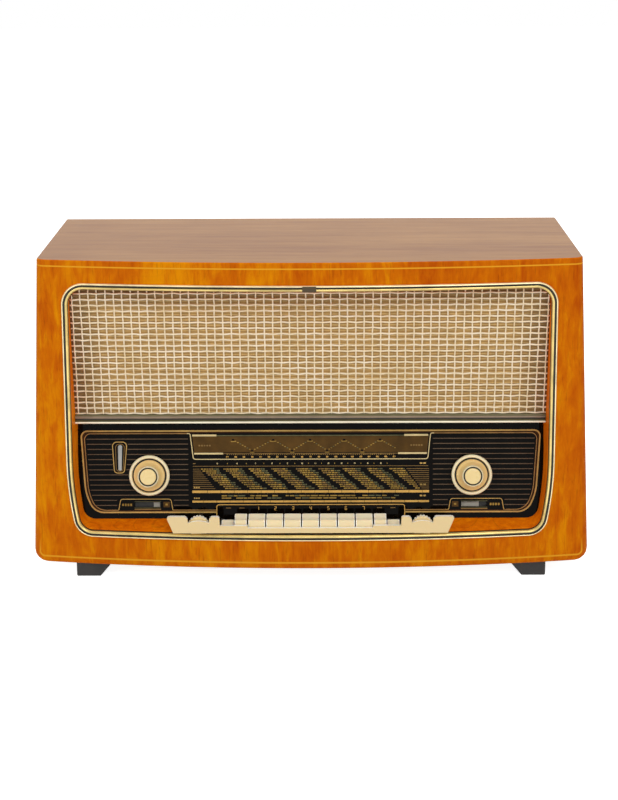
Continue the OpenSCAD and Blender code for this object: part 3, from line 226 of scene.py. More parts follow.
class Mat:
    """A material and short ways to add nodes to it."""

    def __init__(self, name, **sockets):
        self.m = bpy.data.materials.new(name)
        self.m.use_nodes = True
        self.t = self.m.node_tree
        self.bsdf = self.t.nodes["Principled BSDF"]
        for k, v in sockets.items():
            self.bsdf.inputs[k.replace("_", " ")].default_value = v

    def node(self, kind, inputs=None, **props):
        n = self.t.nodes.new(kind)
        for k, v in props.items():
            setattr(n, k, v)
        for k, v in (inputs or {}).items():
            if isinstance(v, bpy.types.NodeSocket):
                self.t.links.new(v, n.inputs[k])
            else:
                n.inputs[k].default_value = v
        return n

    def coords(self, scale=(1, 1, 1), rotation=(0, 0, 0), location=(0, 0, 0)):
        tc = self.node("ShaderNodeTexCoord")
        inputs = {"Vector": tc.outputs["Object"], "Scale": scale, "Rotation": rotation, "Location": location}
        return self.node("ShaderNodeMapping", inputs).outputs["Vector"]

    def even(self, scale):
        """Coordinates scaled alike in all directions."""
        return self.coords(scale=(scale, scale, scale))

    def places(self):
        """The object's X, Y and Z in millimetres."""
        xyz = self.node("ShaderNodeSeparateXYZ", {"Vector": self.coords()})
        return [self.math("MULTIPLY", xyz.outputs[axis], 1000.0) for axis in "XYZ"]

    def noise(self, vector, scale=1.0, detail=3.0, rough=0.5, distortion=0.0):
        inputs = {"Vector": vector, "Scale": scale, "Detail": detail}
        inputs.update({"Roughness": rough, "Distortion": distortion})
        return self.node("ShaderNodeTexNoise", inputs).outputs["Fac"]

    def threads(self, scale, direction):
        """Uneven threads across one direction."""
        inputs = {"Vector": self.coords(), "Scale": scale, "Distortion": 0.6}
        inputs.update({"Detail": 1.0, "Detail Scale": 6.0})
        return self.node("ShaderNodeTexWave", inputs, bands_direction=direction).outputs["Fac"]

    def ramp(self, fac, stops):
        n = self.node("ShaderNodeValToRGB", {"Fac": fac})
        while len(n.color_ramp.elements) < len(stops):
            n.color_ramp.elements.new(0.5)
        for e, (at, colour) in zip(n.color_ramp.elements, stops):
            e.position = at
            e.color = linear(colour)
        return n.outputs["Color"]

    def math(self, op, a, b=0.0, clamp=False):
        n = self.node("ShaderNodeMath", {0: a, 1: b}, operation=op)
        n.use_clamp = clamp
        return n.outputs[0]

    def total(self, first, parts):
        """Adds each part's share to the first value."""
        for part, share in parts:
            first = self.math("ADD", self.math("MULTIPLY", part, share), first)
        return first

    def past(self, value, start, reach):
        """Rises from 0 at the start to 1 at that reach past it."""
        return self.math("DIVIDE", self.math("SUBTRACT", value, start), reach, clamp=True)

    def near(self, value, middle, reach):
        """Is 1 in the middle and falls to 0 at that reach from it."""
        away = self.math("ABSOLUTE", self.math("SUBTRACT", value, middle))
        return self.math("SUBTRACT", 1.0, self.math("DIVIDE", away, reach), clamp=True)

    def within(self, value, middle, reach):
        """Is 1 up to that reach from the middle, and 0 past it."""
        return self.math("LESS_THAN", self.math("ABSOLUTE", self.math("SUBTRACT", value, middle)), reach)

    def mix(self, fac, a, b, blend="MIX"):
        n = self.node("ShaderNodeMix", {"Factor": fac}, data_type="RGBA", blend_type=blend)
        for sock, v in ((6, a), (7, b)):
            if isinstance(v, bpy.types.NodeSocket):
                self.t.links.new(v, n.inputs[sock])
            else:
                n.inputs[sock].default_value = linear(v)
        return n.outputs[2]

    def base(self, colour):
        self.t.links.new(colour, self.bsdf.inputs["Base Color"])

    def rough(self, fac, low, high):
        n = self.node("ShaderNodeMapRange", {"Value": fac, "To Min": low, "To Max": high})
        self.t.links.new(n.outputs[0], self.bsdf.inputs["Roughness"])

    def over(self, colour, share):
        """Lays a colour over what the base colour has been so far."""
        old = self.bsdf.inputs["Base Color"].links[0].from_socket
        self.base(self.mix(share, old, colour))

    def bump(self, height, strength, distance):
        n = self.node("ShaderNodeBump", {"Height": height, "Strength": strength, "Distance": distance})
        self.t.links.new(n.outputs[0], self.bsdf.inputs["Normal"])


def plain(name, rgb, rough, metallic=0.0, speckle=0.06, grain=350.0, bump=0.05, **k):
    """A material whose colour and roughness vary slightly, with a faint bump."""
    m = Mat(name, Metallic=metallic, **k)
    v = m.coords()
    n = m.noise(v, 60.0, 4.0)
    lo = [c * (1 - speckle) for c in rgb]
    hi = [min(255, c * (1 + speckle)) for c in rgb]
    m.base(m.ramp(n, [(0.3, lo), (0.7, hi)]))
    m.rough(m.noise(v, 25.0, 3.0), max(0.02, rough * 0.8), min(1.0, rough * 1.2))
    m.bump(m.noise(v, grain, 2.0), bump, 0.0004)
    return m.m


# Materials


def wood(name, tones, along, rough, coat, gloss=0.35, rings_at=0.25):
    """Veneer of three tones, whose grain runs along X or Z; rings_at is how much its growth rings show."""
    m = Mat(name, Coat_Weight=coat, Coat_Roughness=0.06, Coat_IOR=1.5, Specular_IOR_Level=gloss)
    upright = along == "Z"
    scale = (90.0, 90.0, 6.0) if upright else (6.0, 90.0, 90.0)
    streaks = m.noise(m.coords(scale=scale), 1.6, 5.0, 0.6)
    broad = m.coords(scale=tuple(0.11 * s for s in scale), location=(3.1, 1.7, 0.4))
    bands = m.noise(broad, 1.3, 3.0, 0.5, 0.3)
    clouds = m.noise(m.coords(scale=(9, 9, 7)), 1.0, 3.0, 0.55)
    patch_scale = (105, 105, 32) if upright else (7, 85, 85)
    patches = m.noise(m.coords(scale=patch_scale, rotation=(0, 0.16, 0)), 1.0, 4.0, 0.62, 0.4)
    fine = m.noise(m.coords(scale=tuple(6 * s for s in scale)), 1.2, 2.0, 0.7)
    tone = m.total(0.03, [(bands, 0.3), (clouds, 0.2), (patches, 0.3), (streaks, 0.14)])
    colour = m.ramp(tone, list(zip((0.41, 0.5, 0.59), tones)))
    pores = m.ramp(fine, [(0.28, (168, 140, 120)), (0.42, (255, 255, 255))])
    colour = m.mix(0.4, colour, pores, "MULTIPLY")
    rings = m.noise(m.coords(scale=(7, 7, 16) if upright else (5, 30, 30)), 1.0, 1.5, 0.4)
    saw = m.math("PINGPONG", m.math("MULTIPLY", rings, 14.0), 0.5)
    line = m.ramp(saw, [(0.0, (150, 120, 100)), (0.06, (255, 255, 255))])
    m.base(m.mix(rings_at, colour, line, "MULTIPLY"))
    m.rough(fine, rough, rough + 0.12)
    m.bump(fine, 0.05, 0.0002)
    return m


def with_inlays(m, edge_shade):
    """Adds two pale inlay lines, one near the top and one along the rounded foot, which fades above it.

    The cabinet's narrow outer edge gets painted shade, as dark as edge_shade makes it.
    """
    x, _, z = m.places()
    z = m.math("SUBTRACT", z, FOOT_H)
    foot_x = m.math("ADD", m.math("ABSOLUTE", x), m.math("MULTIPLY", z, SIDE_LEAN))
    out_x = m.math("MAXIMUM", m.math("SUBTRACT", foot_x, CAB_HALF_W - FOOT_CORNER_R), 0.0)
    out_z = m.math("MAXIMUM", m.math("SUBTRACT", FOOT_CORNER_R, z), 0.0)
    squares = m.math("ADD", m.math("MULTIPLY", out_x, out_x), m.math("MULTIPLY", out_z, out_z))
    upper = m.near(z, CAB_H - 7.2, 1.15)
    lower = m.near(m.math("SQRT", squares), 6.2, 1.5)
    fading = m.math("DIVIDE", m.math("SUBTRACT", 30.0, z), 22.0, clamp=True)
    lines = m.math("MAXIMUM", upper, m.math("MULTIPLY", lower, fading))
    # Painted shade on the front's narrow outer edge.
    m.over((92, 44, 4), m.math("MULTIPLY", m.past(out_x, 12.2, 1.2), edge_shade))
    m.over((226, 158, 36), m.math("MULTIPLY", lines, 1.5, clamp=True))
    return m.m


def recess_veneer():
    """The lining's veneer, with black painted shade behind the keyboard, where the print's black goes on."""
    tones = (206, 90, 0), (232, 116, 2), (250, 142, 6)
    m = wood("recess_veneer", tones, "Z", rough=0.4, coat=0.03, gloss=0.05)
    x, _, z = m.places()
    across = m.within(x, 0.0, 160.0)
    low = m.math("LESS_THAN", z, 85.0)
    # Painted shade: the lining behind the keyboard is coloured near-black.
    m.over((14, 9, 5), m.math("MULTIPLY", across, low))
    return m.m


FRONT_TONES = (182, 78, 0), (202, 104, 0), (220, 136, 0)
TOP_TONES = (138, 87, 37), (152, 102, 48), (165, 116, 60)
SIDE_TONES = (176, 84, 3), (200, 106, 6), (222, 134, 10)
BOARD_TONES = (120, 88, 56), (146, 110, 72), (168, 132, 92)
front_veneer = wood("veneer_front", FRONT_TONES, "Z", rough=0.5, coat=0.0, gloss=0.04, rings_at=0.06)
side_veneer = wood("veneer_side", SIDE_TONES, "Z", rough=0.4, coat=0.05, gloss=0.05)
VENEER = with_inlays(front_veneer, 0.75)
VENEER_TOP = wood("veneer_top", TOP_TONES, "X", rough=0.36, coat=0.15, gloss=0.16, rings_at=0.1).m
VENEER_SIDE = with_inlays(side_veneer, 0.0)
RECESS = recess_veneer()
BOARD = wood("raw_board", BOARD_TONES, "X", rough=0.7, coat=0.0).m


def metal(name, rgb, rough):
    """Bare metal with slight stains and fine scratches."""
    m = Mat(name, Metallic=1.0)
    m.base(m.ramp(m.noise(m.even(30), 1.0, 4.0), [(0.35, [c * 0.8 for c in rgb]), (0.6, rgb)]))
    m.rough(m.noise(m.even(160)), rough * 0.7, rough * 1.6)
    m.bump(m.noise(m.even(700), 1.0, 2.0), 0.06, 0.0002)
    return m.m


BRASS = metal("frame_brass", (206, 184, 120), 0.14)
# Painted highlights on the brass frame's pale ridge and bright inner edge.
BRASS_RIDGE_HIGHLIGHT = plain("frame_brass_ridge_highlight", (236, 222, 176), 0.3, metallic=0.55, speckle=0.08)
BRASS_EDGE_HIGHLIGHT = plain("frame_brass_edge_highlight", (222, 196, 122), 0.3, metallic=0.6, speckle=0.08)
# Painted shade in the brass frame's groove and on its innermost lip.
BRASS_GROOVE_SHADE = plain("frame_groove_shade", (20, 14, 6), 0.4, speckle=0.2)
BAR_OLIVE = plain("bar_olive", (98, 92, 60), 0.35, metallic=0.3)
CLIP_DARK = plain("clip_dark", (62, 48, 22), 0.35, metallic=0.3)
BAR_GREY = plain("bar_grey", (138, 120, 98), 0.35, metallic=0.3)
# Painted shade in the moulding bar's dark band, and a painted highlight in its bright band below.
BAR_GROOVE_SHADE = plain("bar_groove_shade", (34, 22, 10), 0.5, speckle=0.15)
BAR_HIGHLIGHT = plain("bar_highlight", (255, 242, 214), 0.25, metallic=0.1, speckle=0.03)
# Painted shade: the plate behind the dial's windows is coloured dark.
PLATE_SHADE = plain("plate_shade", (44, 42, 38), 0.5, speckle=0.1)
BUSH = metal("bush_brass", (206, 170, 96), 0.3)
STEEL = metal("zinc_steel", (190, 186, 176), 0.34)
CAN = metal("bright_can", (206, 206, 204), 0.28)


def weave_material():
    """Pale, slightly shiny strands."""
    m = Mat("strand_weave", Roughness=0.42, Sheen_Weight=0.15, Specular_IOR_Level=0.45)
    fine = m.noise(m.even(900), 1.0, 2.0)
    colour = m.ramp(m.noise(m.coords(), 45.0), [(0.3, (240, 220, 178)), (0.6, (255, 242, 216))])
    fibres = m.ramp(fine, [(0.35, (200, 170, 120)), (0.65, (255, 250, 235))])
    m.base(m.mix(0.15, colour, fibres, "MULTIPLY"))
    m.bump(fine, 0.25, 0.0003)
    return m.m


def backing_material():
    """Cloth behind the strands, darker towards the sides and the top, where the brass shades it."""
    m = Mat("backing_fabric", Roughness=0.85, Sheen_Weight=0.2)
    rows = m.threads(96.0, "Z")
    columns = m.threads(150.0, "X")
    stains = m.noise(m.coords(scale=(110, 60, 140)), 1.0, 2.0)
    colour = m.ramp(rows, [(0.1, (172, 136, 78)), (0.8, (216, 182, 120))])
    colour = m.mix(0.35, colour, m.ramp(stains, [(0.3, (150, 130, 90)), (0.7, (255, 236, 200))]), "MULTIPLY")
    x, _, z = m.places()
    side = m.past(m.math("ABSOLUTE", x), 235.0, 40.0)
    top = m.past(z, 325.0, 25.0)
    shade = m.math("MULTIPLY", m.math("MAXIMUM", side, top), 0.75)
    m.base(m.mix(shade, colour, (74, 48, 20)))
    m.bump(m.math("MULTIPLY", rows, columns), 0.5, 0.0006)
    return m.m


WEAVE = weave_material()
BACKING = backing_material()


def ivory_material(name, rgb, yellow=(214, 186, 128), rough=0.28):
    """Cast ivory-coloured plastic with a little yellowing."""
    m = Mat(name, Subsurface_Weight=0.12, Subsurface_Scale=0.004, Coat_Weight=0.15, Coat_Roughness=0.2)
    m.bsdf.inputs["Specular IOR Level"].default_value = 0.5
    m.bsdf.inputs["Subsurface Radius"].default_value = (1.0, 0.6, 0.3)
    yellowed = m.ramp(m.noise(m.even(40), 1.0, 4.0, 0.6), [(0.35, (70, 70, 70)), (0.75, (0, 0, 0))])
    m.base(m.mix(yellowed, rgb, yellow))
    m.rough(m.noise(m.even(90)), rough * 0.8, rough * 1.4)
    m.bump(m.noise(m.even(260), 1.0, 2.0), 0.04, 0.0003)
    return m.m


IVORY = ivory_material("ivory_bezel", (230, 204, 148), (208, 178, 118))
KEY_IVORY = ivory_material("ivory_keys", (240, 220, 174))
# Painted light: a lighter ivory for the keys' tops.
KEY_TOP_LIT = ivory_material("ivory_key_top_lit", (252, 240, 208), (240, 226, 190))
# Painted highlight: the palest ivory, for the keys' rims, the wheels' edges and the bezel's upward faces.
IVORY_HIGHLIGHT = ivory_material("ivory_highlight", (255, 252, 240), (250, 240, 214))
KNOB_IVORY = ivory_material("ivory_knobs", (246, 232, 192), (230, 208, 156))
KNOB_GOLD = ivory_material("cream_disc", (242, 208, 138), (222, 178, 102), 0.3)
KNOB_BUTTON = ivory_material("cream_button", (240, 214, 150), (228, 192, 122), 0.25)

GLASS_GLOSS = {"Specular_IOR_Level": 0.06, "Coat_Weight": 0.04, "Coat_Roughness": 0.02}
PRINT_GLOSS = {"Specular_IOR_Level": 0.06, "Coat_Weight": 0.05, "Coat_Roughness": 0.03}
WINDOW_U, WINDOW_V = 194.45, 16.85


def glass_material():
    """Black glass that is clear in the two tone windows."""
    m = Mat("scale_black", Roughness=0.06, **GLASS_GLOSS)
    m.base(m.ramp(m.noise(m.coords(), 60.0, 4.0), [(0.3, (7, 5, 3)), (0.7, (11, 8, 5))]))
    x, y, z = m.places()
    y = m.math("SUBTRACT", y, FRONT_Y + DIAL_Y)
    z = m.math("SUBTRACT", z, FOOT_H + DIAL_Z)
    v = m.math("ADD", m.math("MULTIPLY", y, math.sin(TILT)), m.math("MULTIPLY", z, math.cos(TILT)))
    across = m.within(m.math("ABSOLUTE", x), WINDOW_U, 15.1)
    upright = m.within(v, WINDOW_V, 3.05)
    clear = m.math("MULTIPLY", m.math("MULTIPLY", across, upright), 0.97)
    m.t.links.new(m.math("SUBTRACT", 1.0, clear), m.bsdf.inputs["Alpha"])
    return m.m


def printed(name, rgb, rough, speckle):
    """Ink behind the dial's glass."""
    return plain("print_" + name, rgb, rough, speckle=speckle, bump=0.0, **PRINT_GLOSS)


GLASS = glass_material()
PANEL = plain("scale_panel", (9, 6, 4), 0.06, speckle=0.15, bump=0.0, **GLASS_GLOSS)
GOLD = printed("gold", (196, 160, 92), 0.35, 0.08)
LOUVRE = printed("louvre", (98, 80, 62), 0.4, 0.1)
COPPER = printed("copper", (170, 130, 78), 0.4, 0.1)
FILL = printed("fill", (62, 36, 12), 0.3, 0.1)
GOLD_DIM = printed("gold_dim", (138, 108, 62), 0.4, 0.1)
GOLD_BRIGHT = printed("gold_bright", (222, 174, 92), 0.35, 0.06)
BROWN = printed("brown", (84, 60, 26), 0.25, 0.12)
TEXT = printed("text", (162, 130, 62), 0.4, 0.15)
FAINT = printed("faint", (98, 96, 66), 0.4, 0.15)
CREAM = printed("cream", (222, 200, 146), 0.35, 0.05)
# Painted shade for the knobs' gaps and hollows and the wheels' shafts.
SLOT_SHADE = plain("slot_shade", (24, 20, 16), 0.5, bump=0.0)
GREY = plain("flag_grey", (176, 170, 156), 0.45)
EYE = plain("eye_pearl", (168, 172, 168), 0.2, speckle=0.05, Coat_Weight=0.5, Coat_Roughness=0.05)
RED = plain("pointer_red", (186, 42, 22), 0.45)
BLACK_RUBBER = plain("foot_rubber", (30, 27, 25), 0.62, speckle=0.2, bump=0.25, grain=500)
DARK_STEEL = plain("speaker_paint", (70, 70, 68), 0.5)
CORE = plain("core_varnish", (66, 56, 46), 0.5)
SOCKET = plain("socket_ceramic", (212, 200, 176), 0.5)
PHENOLIC = plain("laminate_brown", (132, 84, 40), 0.45, speckle=0.15)
DRUM = plain("drum_plastic", (196, 178, 132), 0.4)
FERRITE = plain("ferrite_grey", (62, 58, 56), 0.6)
SCREW = metal("screw_plate", (196, 176, 120), 0.28)


def fibreboard():
    """Pressed brown board with pale and dark specks."""
    m = Mat("fibreboard", Roughness=0.85)
    fibres = m.noise(m.coords(scale=(90, 90, 220)), 1.0, 5.0, 0.7, 0.6)
    specks = m.noise(m.even(500), 1.0, 2.0)
    colour = m.ramp(fibres, [(0.3, (88, 60, 36)), (0.7, (122, 88, 56))])
    colour = m.mix(0.4, colour, m.ramp(specks, [(0.35, (150, 130, 110)), (0.6, (255, 250, 240))]), "MULTIPLY")
    m.base(colour)
    m.bump(specks, 0.35, 0.0005)
    return m.m


FIBREBOARD = fibreboard()


def tube_glass():
    """Greyish glass that half hides what stands behind it."""
    m = Mat("tube_glass", Roughness=0.05, IOR=1.5, Alpha=0.45)
    n = m.noise(m.coords(scale=(60, 60, 40)), 1.0, 3.0)
    m.base(m.ramp(n, [(0.3, (176, 186, 184)), (0.7, (214, 220, 216))]))
    return m.m


TUBE_GLASS = tube_glass()

for node_name, material in {
    "cabinet": VENEER,
    "reveal_frame": RECESS,
    "baffle_board": BOARD,
    "dial_plate": PLATE_SHADE,
    "am_pointer": RED,
    "fm_pointer": RED,
    "eye_tube": TUBE_GLASS,
    "tube_shaft_left": STEEL,
    "tube_shaft_right": STEEL,
    "rod_shaft_left": STEEL,
    "rod_shaft_right": STEEL,
    "shaft_bushes": BUSH,
    "volume_pot": CAN,
    "tone_pots": CAN,
    "bass_wheel": IVORY,
    "treble_wheel": IVORY,
    "key_bezel": IVORY,
    "bass_indicator": GREY,
    "treble_indicator": GREY,
    "key_shaft": STEEL,
    "key_frame": STEEL,
    "key_springs": STEEL,
    "chassis": STEEL,
    "mains_transformer": CORE,
    "filter_capacitor": CAN,
    "tubes": TUBE_GLASS,
    "tube_sockets": SOCKET,
    "if_cans": CAN,
    "gang_frame": STEEL,
    "gang_rotor": CAN,
    "drive_drum": DRUM,
    "ferrite_post": STEEL,
    "ferrite_rod": FERRITE,
    "speakers": DARK_STEEL,
    "side_grilles": IVORY,
    "back_cover": FIBREBOARD,
    "socket_panel": PHENOLIC,
    "cord_grommet": BLACK_RUBBER,
    "feet": BLACK_RUBBER,
    "screws": SCREW,
    "dial_glass": GLASS,
    "moulding_bar": BAR_OLIVE,
    "frame_clip": CLIP_DARK,
}.items():
    ob = nodes[node_name]
    ob.data.materials.clear()
    ob.data.materials.append(material)
    sharpen(ob, 32)


def repaint(node_name, kinds, choose):
    """Adds materials to a CAD node, and gives each face the one that choose(centre, normal) numbers."""
    mesh = nodes[node_name].data
    for kind in kinds:
        mesh.materials.append(kind)
    for face in mesh.polygons:
        face.material_index = choose(face.center * 1000, face.normal)


def wheel_part(centre, normal):
    """The wheel's shaft gets dark painted shade and its milled edge a pale painted highlight."""
    if centre.y - FRONT_Y > 10.4:
        return 1
    return 2 if abs(normal.y) < 0.5 else 0


def bezel_part(centre, normal):
    """What faces up gets a pale painted highlight."""
    return 1 if normal.z > 0.3 else 0


BAR_TOP, BAR_H = 175.6, 10.6


def bar_part(centre, normal):
    """The bar's front has bands of different tone, from its top down: olive, grey, a dark band of painted
    shade, olive and a bright band of painted highlight.
    """
    down = (BAR_TOP + FOOT_H - centre.z) / BAR_H
    if normal.y >= -0.02 and down <= 0.9:
        return 0
    for foot, kind in ((0.19, 0), (0.44, 1), (0.62, 2), (0.8, 0)):
        if down < foot:
            return kind
    return 3


def cabinet_part(centre, normal):
    """The top and the sides have veneer of their own, and the underside and the inside are raw board."""
    above = centre.z - FOOT_H
    out = abs(centre.x) + above * SIDE_LEAN - CAB_HALF_W
    if normal.z > 0.9 and above > CAB_H - 4:
        return 1
    if abs(normal.x) > 0.9 and out > -4:
        return 2
    if normal.z < -0.9 and above < 1:
        return 3
    if normal.y < -0.5 and centre.y < FRONT_Y + 40:
        return 0
    inside = out < -SIDE_BOARD and 14 < above < CAB_H - 14 and centre.y > FRONT_Y + 32
    return 3 if inside or centre.y > FRONT_Y + 60 else 0


repaint("bass_wheel", [SLOT_SHADE, IVORY_HIGHLIGHT], wheel_part)
repaint("treble_wheel", [SLOT_SHADE, IVORY_HIGHLIGHT], wheel_part)
repaint("key_bezel", [IVORY_HIGHLIGHT], bezel_part)
repaint("moulding_bar", [BAR_GREY, BAR_GROOVE_SHADE, BAR_HIGHLIGHT], bar_part)
repaint("cabinet", [VENEER_TOP, VENEER_SIDE, BOARD], cabinet_part)

# Brass frame

section = [
    (0.0, 0.0), (0.0, 1.0), (0.3, 2.1), (0.8, 2.8), (1.3, 3.0), (1.75, 2.7), (1.95, 2.0), (2.1, 0.9),
    (2.7, 0.5), (3.5, 0.7), (3.75, 1.7), (4.3, 2.35), (5.0, 2.6), (5.8, 2.3), (6.4, 1.5), (6.55, 1.2),
    (7.2, 0.2), (7.65, -1.2), (7.7, -2.5), (7.1, -2.5), (7.1, -1.5), (7.0, 0.0),
]


def brass_band(ring, step):
    """The ridge gets a pale painted highlight, the groove dark painted shade, the face brass, the inner edge
    a bright painted highlight and the lip behind it dark painted shade.
    """
    inset = (section[ring][0] + section[(ring + 1) % len(section)][0]) / 2
    if inset > 6.7:
        return 2 if inset > 7.0 else 3
    return 1 if inset < 1.8 else 2 if inset < 3.6 else 0 if inset < 6.0 else 3


brass = Shape()
loops = [[cab(x, bow(x) - proud, z) for x, z in opening(inset)] for inset, proud in section]
brass.loops(loops + [loops[0]], tag=brass_band)
brass_kinds = [BRASS, BRASS_RIDGE_HIGHLIGHT, BRASS_GROOVE_SHADE, BRASS_EDGE_HIGHLIGHT]
sharpen(brass.make("brass_sweep", brass_kinds, slot="brass", replaces=["brass_frame"]), 50)

# Grille

ROW, COL = 7.14, 9.58
ROW_R, COL_R, LIFT = 0.98, 0.82, 0.95
STRAND_DEPTH = 1.25
LINING_GAP = 7.85
V_TOP = (OPEN_TOP - BRASS_W - CLOTH_Z) / math.cos(LEAN) + 3
V_LOW = (BAR_TOP - CLOTH_Z) / math.cos(LEAN) + 0.3


def grille_half_width(v):
    """Half-width of the recess at the cloth, rounded at its top corners."""
    z = CLOTH_Z + v * math.cos(LEAN)
    half = OPEN_W / 2 - LINING_GAP - OPEN_LEAN * min(1.0, (z - ARC_Z) / (OPEN_TOP - TOP_R - ARC_Z))
    r = TOP_R - 7
    corner_z = OPEN_TOP - LINING_GAP - r
    if z > corner_z:
        half -= r - math.sqrt(max(r * r - (z - corner_z) ** 2, 0.0))
    return half


def weave_lift(i, j):
    """A row's strand passes in front of every other column and behind the rest."""
    return LIFT if (i + j) % 2 == 0 else -LIFT * 0.55


def strand_depth(here, there, t):
    """Depth of a strand that swings from one crossing's lift to the next one's."""
    s = (1 - math.cos(math.pi * t)) / 2
    return -(STRAND_DEPTH + here * (1 - s) + there * s)


def backing_mesh(rows, columns):
    """The cloth behind the strands, with very slight waves."""
    points, faces = [], []
    for j in range(rows + 1):
        v = V_LOW + (V_TOP - 1.0 - V_LOW) * j / rows
        half = grille_half_width(min(v, V_TOP - 4)) - 0.3
        for i in range(columns + 1):
            wave = 0.045 * math.sin(i * 1.7) * math.sin(j * 1.3)
            points.append(cloth(-half + 2 * half * i / columns, -0.05 - wave, v))
    for j in range(rows):
        for i in range(columns):
            k = j * (columns + 1) + i
            faces.append((k, k + 1, k + columns + 2, k + columns + 1))
    return points, faces


backing = Shape()
backing.add(*backing_mesh(40, 60))
backing_ob = backing.make("grille_backing", BACKING, slot="weave", replaces=["grille_cloth"])

columns = [(i + 0.5) * COL + 0.55 for i in range(-29, 29)]
rows = []
v = V_LOW + 0.85
while v < V_TOP - 2.0:
    rows.append(v)
    v += ROW
random.seed(4)
wobble_u = [[random.uniform(-0.35, 0.35) for _ in rows] for _ in columns]
wobble_v = [[random.uniform(-0.3, 0.3) for _ in columns] for _ in rows]
lean_u = [random.uniform(-0.5, 0.5) for _ in columns]

strands = Shape()
for j, v in enumerate(rows):
    points = []
    half = grille_half_width(v)
    for i, u in enumerate(columns):
        if abs(u) > half - 0.5:
            continue
        for k in range(4):
            t = k / 4
            depth = strand_depth(weave_lift(i, j), weave_lift(i + 1, j), t)
            points.append(cloth(u + COL * t, depth, v + wobble_v[j][i] * (1 - t)))
    points = [p for p in points if abs(p.x * 1000) < half - 0.4]
    points.insert(0, cloth(-half + 0.2, -1.2, v))
    points.append(cloth(half - 0.2, -1.2, v))
    strands.tube(points, ROW_R / 1000, 8)
for i, u in enumerate(columns):
    points = []
    for j, v in enumerate(rows):
        if abs(u) > grille_half_width(v) - 0.9:
            continue
        for k in range(4):
            t = k / 4
            depth = strand_depth(weave_lift(i + 1, j), weave_lift(i, j), t)
            across = u + lean_u[i] * (v / 75 - 1) + wobble_u[i][j] * (1 - t)
            points.append(cloth(across, depth, v + ROW * t))
    points = [p for p in points if (p.z * 1000 - FOOT_H) < OPEN_TOP - 8.4]
    points.insert(0, cloth(u - lean_u[i], -1.0, V_LOW + 0.4))
    strands.tube(points, COL_R / 1000, 8)
strands_ob = strands.make("grille_strands", WEAVE, slot="weave")

# Dial print

PRINT = -0.12
OVER = PRINT - 0.02


def polygon(shape, points, depth=PRINT):
    """A flat patch with the given (u, v) corners on the glass."""
    shape.add([dial(u, depth, v) for u, v in points], [tuple(range(len(points)))])


def rect(shape, u0, u1, v0, v1, depth=PRINT):
    polygon(shape, [(u0, v0), (u1, v0), (u1, v1), (u0, v1)], depth)


def block(shape, u, v, half_u, half_v, depth=PRINT):
    """A rectangle round its middle."""
    rect(shape, u - half_u, u + half_u, v - half_v, v + half_v, depth)


def stroke(shape, points, width, depth=PRINT, closed=False):
    """A flat line of the given width along (u, v) points on the glass."""
    n = len(points)
    left, right = [], []
    for i, p in enumerate(points):
        p = Vector(p)
        before = Vector(points[i - 1]) if i > 0 or closed else None
        after = Vector(points[(i + 1) % n]) if i < n - 1 or closed else None
        to_here = (p - before).normalized() if before is not None else (after - p).normalized()
        onward = (after - p).normalized() if after is not None else to_here
        along = (to_here + onward).normalized()
        normal = Vector((-along.y, along.x))
        w = width / 2 / max(0.5, normal.dot(Vector((-to_here.y, to_here.x))))
        left.append(p + normal * w)
        right.append(p - normal * w)
    for i in range(n if closed else n - 1):
        j = (i + 1) % n
        polygon(shape, [left[i], left[j], right[j], right[i]], depth)


gold, dim, bright, brown, cream, fill = (Shape() for _ in range(6))
copper, louvre, black, text, faint = (Shape() for _ in range(5))

# The dial's outline is a gold line, a brown band and a copper line, which stops at the windows
TAB_END, MIDDLE_END = 229.5, 147
for top, s_top, s_mid, s_low, bottom, w, shape in (
    (105.0, 273.2, 268.1, 258.0, 7.8, 1.75, gold),
    (103.5, 271.4, 266.4, 256.5, 9.05, 2.2, fill),
    (101.9, 269.4, 264.6, 255.0, 10.4, 0.85, copper),
):
    corners = [(112, bottom), (s_low, bottom), (s_mid, 31), (s_top, top), (0, top)]
    right_half = round_poly(corners, [0, 18, 60, 7, 0], 10)
    for sign in (1, -1):
        points = [(sign * u, v) for u, v in right_half]
        if shape is copper:
            points = [q for q in points if not (abs(q[0]) < 229 and q[1] < bottom + 1)]
            points.insert(0, (sign * TAB_END, bottom))
            points = [q for q in points if not (abs(q[0]) < 145 and q[1] > top - 1)]
            points.append((sign * MIDDLE_END, top))
        stroke(shape, points, w, PRINT + (0.05 if shape is fill else 0.0))
rect(copper, -164.5, -112, 9.9, 10.8)
rect(copper, 112, 164.5, 9.9, 10.8)

# Louvre lines on both sides, with gaps for the tone windows and the tuning eye
LOUVRE_LOW, LOUVRE_HIGH, LOUVRE_START = 16.2, 95.5, 145.6


def louvre_end(v):
    """Where the lines end at a height, just inside the outline."""
    return 262.2 + 4.8 * max(0.0, (v - 31) / 71) - max(0.0, 34 - v) ** 1.5 * 0.085


for side in (-1, 1):
    for k in range(14):
        v = LOUVRE_LOW + (LOUVRE_HIGH - LOUVRE_LOW) / 13 * k
        gaps = [(163.2, 230.8)] if v < 25.5 else []
        if side < 0 and 54 < v < 93.5:
            t = (v - 55) / 37
            gaps.append((219.6 - 2.2 * t, 235.2 + 1.8 * t))
        start = LOUVRE_START
        for low, high in gaps + [(louvre_end(v), 0)]:
            if low - start > 1:
                block(louvre, side * (start + low) / 2, v, (low - start) / 2, 0.5)
            start = high

